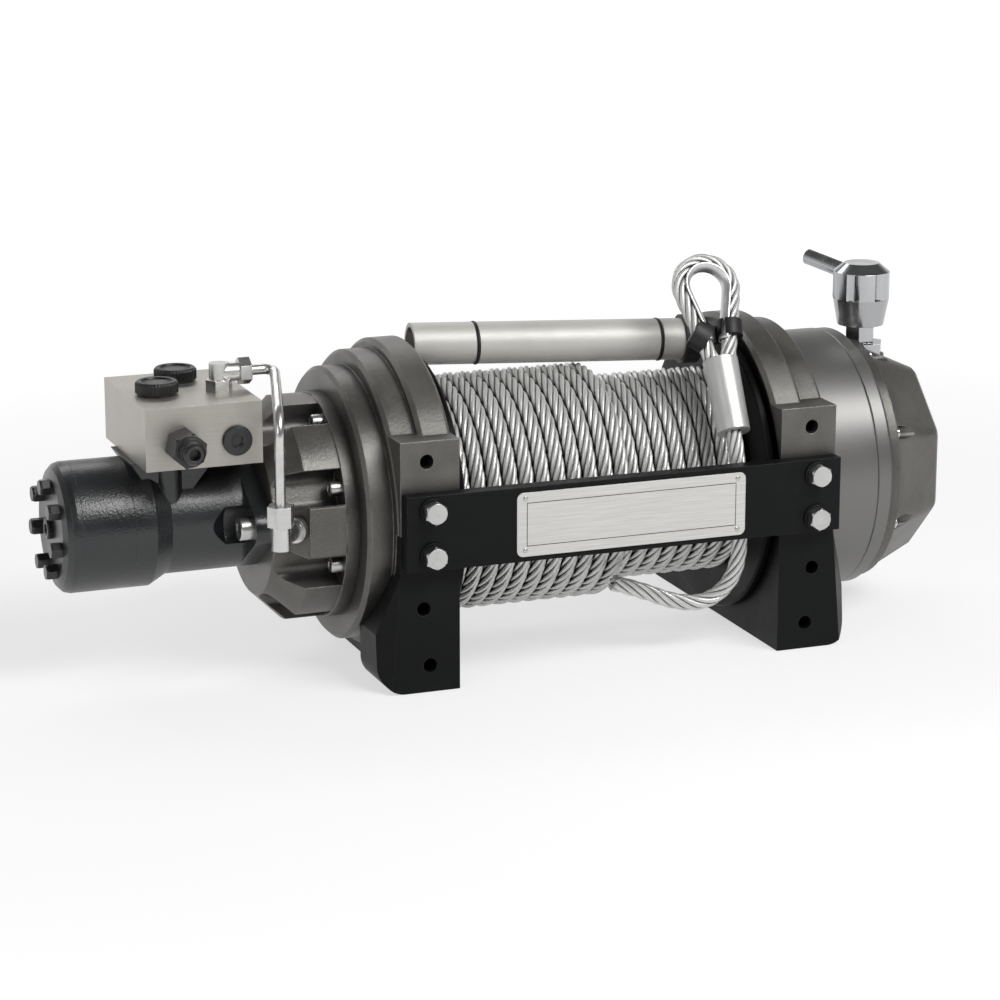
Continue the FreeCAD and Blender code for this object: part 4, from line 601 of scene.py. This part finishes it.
def evenly(path, step):
    """The same line with its points a step apart, each coordinate interpolated over the distance run."""
    run = run_along(path)
    at = np.linspace(0.0, run[-1], max(3, int(run[-1] / step)))
    return np.stack([np.interp(at, run, path[:, k]) for k in range(3)], axis=1)


FERRULE_BASE = np.array([0.1008, -0.10303, 0.17752])
FERRULE_LENGTH = 0.06
EYE_UP = unit([0.0053, 0.07721, 0.11926])
EYE_WIDE = unit(np.cross(EYE_UP, UPWARD))
EYE_LENGTH = 0.0845
EYE_RADIUS = 0.022
EYE_STEP = 0.003
THIMBLE_START = 0.016
THIMBLE_STEP = 0.0015
THIMBLE_WRAP = 66
THIMBLE_COLUMNS = 13
THIMBLE_GAPS = (0.0004, 0.0021)
TAIL_STEP = 0.0035

TAIL = [
    (0.10132, -0.09543, 0.18926),
    (0.10023, -0.11139, 0.16460),
    (0.10020, -0.11203, 0.13795),
    (0.10400, -0.11049, 0.10392),
    (0.10600, -0.10600, 0.07401),
    (0.09900, -0.10003, 0.05106),
    (0.08000, -0.09505, 0.03812),
    (0.05400, -0.09301, 0.04200),
    (0.02800, -0.09196, 0.05395),
    (0.00400, -0.09095, 0.06196),
]


def make_tail():
    """The free rope from the ferrule down behind the tie plate and round under the drum."""
    path = evenly(smooth_line("tail_line", TAIL), TAIL_STEP)
    shape, uv = strands(path, np.broadcast_to((0.0, 1.0, 0.0), path.shape))
    tail = put("rope_end_strands", shape, "wire_rope", uv=uv)
    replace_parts(tail, "rope_tail")


def eye_line(start):
    """A leg, a round crown and a leg in the eye's plane. The crown is a half circle and two stretches
    of the slope whose sine is (radius - rope / 2) / (length - radius), and the legs touch it."""
    top = FERRULE_BASE + EYE_UP * FERRULE_LENGTH
    slope = math.asin((EYE_RADIUS - ROPE / 2) / (EYE_LENGTH - EYE_RADIUS))
    centre = top + EYE_UP * (EYE_LENGTH - EYE_RADIUS)
    turn = np.linspace(-slope, math.pi + slope, 60)
    arc = centre + EYE_RADIUS * (np.cos(turn)[:, None] * EYE_WIDE + np.sin(turn)[:, None] * EYE_UP)
    feet = []
    for hand, edge in ((1, arc[0]), (-1, arc[-1])):
        down = EYE_WIDE * (-hand * math.sin(slope)) - EYE_UP * math.cos(slope)
        reach = (np.dot(edge - top, EYE_UP) - start) / math.cos(slope)
        feet.append(edge + down * reach)
    return np.concatenate([feet[:1], arc, feet[1:]])


def make_eye():
    """The rope's eye: strands along its two legs and crown."""
    path = evenly(eye_line(0.0), EYE_STEP)
    shape, uv = strands(path, np.broadcast_to(np.cross(EYE_UP, EYE_WIDE), path.shape))
    eye = put("eye_strands", shape, "wire_rope", uv=uv)
    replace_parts(eye, "rope_eye")


def make_thimble():
    """A bent channel inside the eye: each point of the line gives the rope's skin turned inward, from
    66 degrees on one side to 66 degrees on the other, once at the rope and once a wall further in."""
    path = evenly(eye_line(THIMBLE_START), THIMBLE_STEP)
    through = unit(np.cross(EYE_WIDE, EYE_UP))
    inward = np.cross(through, unit(np.gradient(path, axis=0)))
    near = np.radians(np.linspace(-THIMBLE_WRAP, THIMBLE_WRAP, THIMBLE_COLUMNS))
    turn = np.concatenate([near, near[::-1]])
    reach = ROPE / 2 + np.repeat(THIMBLE_GAPS, THIMBLE_COLUMNS)
    skin = path[:, None] + reach[:, None] * (np.cos(turn)[:, None] * inward[:, None]
                                             + np.sin(turn)[:, None] * through)
    ends = np.broadcast_to(skin[[0, -1]].mean(axis=1)[:, None], (2, len(turn), 3))
    skin = np.concatenate([ends[:1], skin, ends[1:]])
    channel = welded(skin, grid_faces(len(skin), len(turn), around_columns=True))
    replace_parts(put("thimble_channel", channel, "zinc", finish="thimble_zinc"), "eye_thimble")


# Fasteners

def socket_screw(start, along, head, height):
    """Round head with a bevelled rim and a six-sided socket, as a profile carried round its axis."""
    socket, bevel, lip = head * 0.56, 0.0008, 0.0005
    profile = [(head, 0.0), (head, height - bevel), (head - bevel, height), (socket + lip, height),
               (socket, height - lip), (socket, height * 0.45), (0.0, height * 0.38)]
    return lathe(profile, start, along, UPWARD, 48, six=[False, False, False, False, True, True, False])


def hex_bolt(start, along, corner, height, across):
    """Six-sided head whose top corners are cut by a cone."""
    profile = [(corner, 0.0), (corner, height * 0.8), (corner * COS_30 * 0.97, height), (0.0, height)]
    return lathe(profile, start, along, across, 48, six=[True, True, False, False])


def ring_of(count, radius, x, turn):
    """Places evenly round the drum's axis at one x, the first of them turned by a share of a step."""
    angle = (np.arange(count) + turn) * math.tau / count
    return [(x, radius * math.cos(a), AXIS + radius * math.sin(a)) for a in angle]


def make_plate_bolts():
    """Four hex heads on dark washers at the ends of the tie plate, each turned a few degrees."""
    rim = [(0.0, 0.0), (0.0102, 0.0), (0.0105, 0.0003), (0.0105, 0.0017), (0.0102, WASHER), (0.0, WASHER)]
    heads, washers = [], []
    for side, level, tilt in ((-1, 0.0212, 3), (-1, -0.0135, -4), (1, 0.0212, -3), (1, -0.0135, 5)):
        spot = np.array([side * PLATE_BOLT_X, PLATE_FRONT, AXIS + level])
        across = (math.sin(math.radians(tilt)), 0, math.cos(math.radians(tilt)))
        heads.append(hex_bolt(spot - (0, WASHER, 0), FORWARD, 0.0094, 0.008, across))
        washers.append(lathe(rim, spot, FORWARD, RIGHTWARD, 40))
    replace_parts(put("plate_hex_bolts", joined(heads), "zinc", smooth=False), "plate_bolts")
    put("plate_washers", joined(washers), "black_paint", smooth=False)


def make_screws():
    """Socket heads on the bell, the gearbox and the motor's flange, and the motor's hex end bolts."""
    screws = [socket_screw(spot, LEFTWARD, head=0.006, height=0.009)
              for spot in ring_of(8, radius=0.0784, x=-0.213, turn=0.5)]
    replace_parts(put("bell_cap_screws", joined(screws), "zinc", smooth=False), "bell_screws")
    screws = [socket_screw(spot, RIGHTWARD, head=0.0045, height=0.0025)
              for spot in ring_of(8, radius=0.097, x=0.25, turn=0.5)]
    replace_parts(put("cover_cap_screws", joined(screws), "zinc", smooth=False), "cover_screws")
    screws = [socket_screw((-0.278, y, AXIS), LEFTWARD, head=0.009, height=0.01) for y in (-0.053, 0.053)]
    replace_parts(put("motor_cap_screws", joined(screws), "zinc", smooth=False), "motor_flange_screws")
    heads = [hex_bolt(spot, LEFTWARD, 0.0065, 0.0085, (0, math.cos(index), math.sin(index)))
             for index, spot in enumerate(ring_of(7, radius=0.033, x=-0.42, turn=-0.2))]
    heads.append(socket_screw((-0.42, 0, AXIS), LEFTWARD, head=0.008, height=0.0042))
    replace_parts(put("motor_hex_bolts", joined(heads), "dark_bolts", smooth=False), "motor_end_bolts")


def make_rivets():
    """Domes at the nameplate's corners: radius and height are the cosine and sine of one angle."""
    dome = [(0.0021 * math.cos(a), 0.0009 * math.sin(a)) for a in np.linspace(0, math.pi / 2, 7)]
    rivets = [lathe(dome, (x, NAMEPLATE_FRONT, z), FORWARD, RIGHTWARD, 24) for x in RIVET_X for z in RIVET_Z]
    put("nameplate_rivets", joined(rivets), "zinc")


def make_supply_fitting():
    """Hexagon with bevelled ends, a seal ring and a bored nipple on the valve block's front."""
    start = (-0.332, BLOCK_FRONT, BLOCK_MIDDLE)
    base = [(0.0122, 0.0), (0.014, 0.001), (0.014, 0.0215), (0.0122, 0.024), (0.0102, 0.024),
            (0.0102, 0.0262), (0.0, 0.0262)]
    six = [False, True, True, False, False, False, False]
    hexagon = lathe(base, start, FORWARD, (math.sin(0.2), 0, math.cos(0.2)), 60, six)
    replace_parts(put("supply_hexagon", hexagon, "dark_bolts", smooth=False), "supply_fitting")
    ring = [(0.0076, 0.0258), (0.0092, 0.0262), (0.0096, 0.0275), (0.0092, 0.0288), (0.0076, 0.0292)]
    put("supply_seal", lathe(ring, start, FORWARD, RIGHTWARD, 40), "black_plastic")
    tip = [(0.0078, 0.026), (0.0078, 0.0292), (0.0085, 0.0296), (0.0085, 0.0338), (0.0066, 0.036),
           (0.0046, 0.036), (0.0042, 0.0355), (0.0042, 0.0285), (0.0, 0.0282)]
    put("supply_nipple", lathe(tip, start, FORWARD, RIGHTWARD, 48), "dark_bolts", smooth=False)


def make_block_plug():
    """Round plug with a bevelled rim and a six-sided socket on the valve block's front."""
    profile = [(0.0115, 0.0), (0.0115, 0.0021), (0.0107, 0.003), (0.0056, 0.003), (0.0047, 0.0026),
               (0.0047, 0.0004), (0.0, 0.0002)]
    six = [False, False, False, False, True, True, False]
    plug = lathe(profile, (-0.2895, BLOCK_FRONT, BLOCK_MIDDLE), FORWARD, UPWARD, 60, six)
    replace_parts(put("block_socket_plug", plug, "dark_bolts", smooth=False), "block_plug")


# The caps' profile: radius, height and share of the ribs' depth
CAP_ROWS = np.array([
    (0.0148, 0.0, 0), (0.0148, 0.0016, 0), (0.0165, 0.002, 1), (0.0165, 0.0088, 1), (0.0156, 0.0101, 0.4),
    (0.0148, 0.0108, 0), (0.0135, 0.011, 0), (0.0122, 0.0107, 0), (0.0114, 0.0094, 0), (0.0095, 0.0091, 0),
    (0.0088, 0.0096, 0), (0.008, 0.0098, 0), (0.0, 0.0098, 0),
])


def knurled(x, y, sides=240):
    """A cap whose side is ribbed: the radius at height h and bearing t is the profile's radius less
    a rib's depth times the square of sin 20t, and its top is dished inside a rounded rim."""
    turn = circle(sides)
    radius = CAP_ROWS[:, :1] - RIB_DEPTH * CAP_ROWS[:, 2:] * np.sin(RIBS * turn) ** 2
    height = np.broadcast_to(BLOCK_TOP + CAP_ROWS[:, 1:2], radius.shape)
    points = np.stack([x + radius * np.cos(turn), y + radius * np.sin(turn), height], axis=-1)
    return welded(points, grid_faces(len(CAP_ROWS), sides, around_columns=True))


def make_caps():
    """The two ribbed caps on the valve block's top."""
    front, rear = knurled(-0.3377, -0.012), knurled(-0.3117, 0.03)
    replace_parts(put("front_knurled_cap", front, "black_plastic", smooth=False), "front_cap")
    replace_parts(put("rear_knurled_cap", rear, "black_plastic", smooth=False), "rear_cap")


def make_tube_rings():
    """Rubber rings in the tube's two grooves, oval in section: radius and place along the tube are the
    sine and cosine of one angle."""
    ahead = unit(TUBE_RIGHT - TUBE_LEFT)
    length = float(np.linalg.norm(TUBE_RIGHT - TUBE_LEFT))
    turn = np.linspace(0, math.tau, 17)
    rings = []
    for along in (GROOVES[0], length - GROOVES[1]):
        section = [(TUBE_RADIUS - 0.0006 + 0.0013 * math.sin(a), along + 0.0015 * math.cos(a)) for a in turn]
        rings.append(lathe(section, TUBE_LEFT, ahead, UPWARD, 64))
    put("tube_rubber_rings", joined(rings), "strap_rubber")


make_winding()
make_tail()
make_eye()
make_thimble()
make_plate_bolts()
make_screws()
make_rivets()
make_supply_fitting()
make_block_plug()
make_caps()
make_tube_rings()


# Floor, light and camera

FLOOR_REACH = 30.0
FLOOR_DROP = 0.0003
FLOOR_TONE = 0.4
FLOOR_GLOW = 0.62
FLOOR_FADE = (0.5, 2.2)
WORLD_LIGHT = 0.22
WORLD_FRONT = 0.14
WORLD_TURN = (-0.1, 0.6)
WORLD_RISE = (0.1, 0.6)
CAMERA_BEARING = math.radians(-21.0)
CAMERA_RISE = math.radians(14.558)
CAMERA_DISTANCE = 2.6
CAMERA_SHIFT = (-0.051605, -0.016299)
CAMERA_LENS = 116.56
SENSOR = 36.0


def make_floor():
    """A floor that grows to full white away from the winch for the camera and in reflections, and is
    a plain grey for all other light."""
    corners = np.array([(-1, -1, 0), (1, -1, 0), (1, 1, 0), (-1, 1, 0)]) * FLOOR_REACH
    mesh = bpy.data.meshes.new("floor")
    mesh.from_pydata(corners.tolist(), [], [(0, 1, 2, 3)])
    floor = linked("floor", mesh)
    floor.location.z = -FLOOR_DROP
    f = Finish("floor_white")
    away = f.node("VectorMath", Vector=f.place)
    away.operation = "LENGTH"
    glow = f.between(away.outputs["Value"], *FLOOR_FADE, start=FLOOR_GLOW)
    mesh.materials.append(f.set(
        Base_Color=grey(FLOOR_TONE), Roughness=0.9, Specular_IOR_Level=0.0, Emission_Color=grey(1.0),
        Emission_Strength=f.maths("MULTIPLY", f.seen(), glow)))


def make_world():
    """A world that is white behind the winch and low down, and grey in front and above, for the camera
    and in reflections, and is one dim light for all else."""
    world = bpy.data.worlds.new("studio")
    bpy.context.scene.world = world
    world.use_nodes = True
    g = Graph(world.node_tree)
    way = g.coordinates["Generated"]
    behind = g.between(g.part(1, way), *WORLD_TURN, start=WORLD_FRONT)
    low = g.between(g.part(2, way), *WORLD_RISE, start=1.0, end=WORLD_FRONT)
    strength = g.between(g.seen(), low=0.0, high=1.0, start=WORLD_LIGHT,
                         end=g.maths("MINIMUM", behind, low), smooth=False)
    g.fill(g.tree.nodes["Background"], {"Color": grey(1.0), "Strength": strength})


def facing(name, data, right, up, back, place):
    """A lamp or camera at a place that looks against back, with its own right and up."""
    item = linked(name, data)
    item.matrix_world = Matrix([*np.column_stack([right, up, back, place]).tolist(), [0, 0, 0, 1]])
    return item


def lamp(name, place, target, size, power):
    """A rectangular soft lamp that faces a point."""
    data = bpy.data.lights.new(name, "AREA")
    data.shape = "RECTANGLE"
    data.size, data.size_y = size
    data.energy = power
    back = unit(np.subtract(place, target))
    right = unit(np.cross(UPWARD, back))
    facing(name, data, right, np.cross(back, right), back, place)


def make_camera():
    """The photograph's view: bearing 21 degrees to the left of the front, 14.6 degrees above level."""
    right = np.array([math.cos(CAMERA_BEARING), math.sin(CAMERA_BEARING), 0.0])
    back = np.array([math.sin(CAMERA_BEARING) * math.cos(CAMERA_RISE),
                     -math.cos(CAMERA_BEARING) * math.cos(CAMERA_RISE), math.sin(CAMERA_RISE)])
    up = np.cross(back, right)
    place = right * CAMERA_SHIFT[0] + up * CAMERA_SHIFT[1] + back * CAMERA_DISTANCE + (0, 0, AXIS)
    data = bpy.data.cameras.new("camera")
    data.lens = CAMERA_LENS
    data.sensor_width = SENSOR
    bpy.context.scene.camera = facing("camera", data, right, up, back, place)


make_floor()
make_world()
lamp("key", place=(0.75, -1.5, 1.8), target=(0.0, 0.0, 0.1), size=(1.5, 0.8), power=40.0)
lamp("left", place=(-1.7, -1.2, 0.9), target=(0.0, 0.0, 0.12), size=(0.8, 0.8), power=5.5)
lamp("rim", place=(-0.3, 1.4, 1.5), target=(0.0, 0.0, 0.15), size=(2.0, 0.5), power=10.0)
make_camera()
bpy.context.scene.view_settings.view_transform = "Standard"
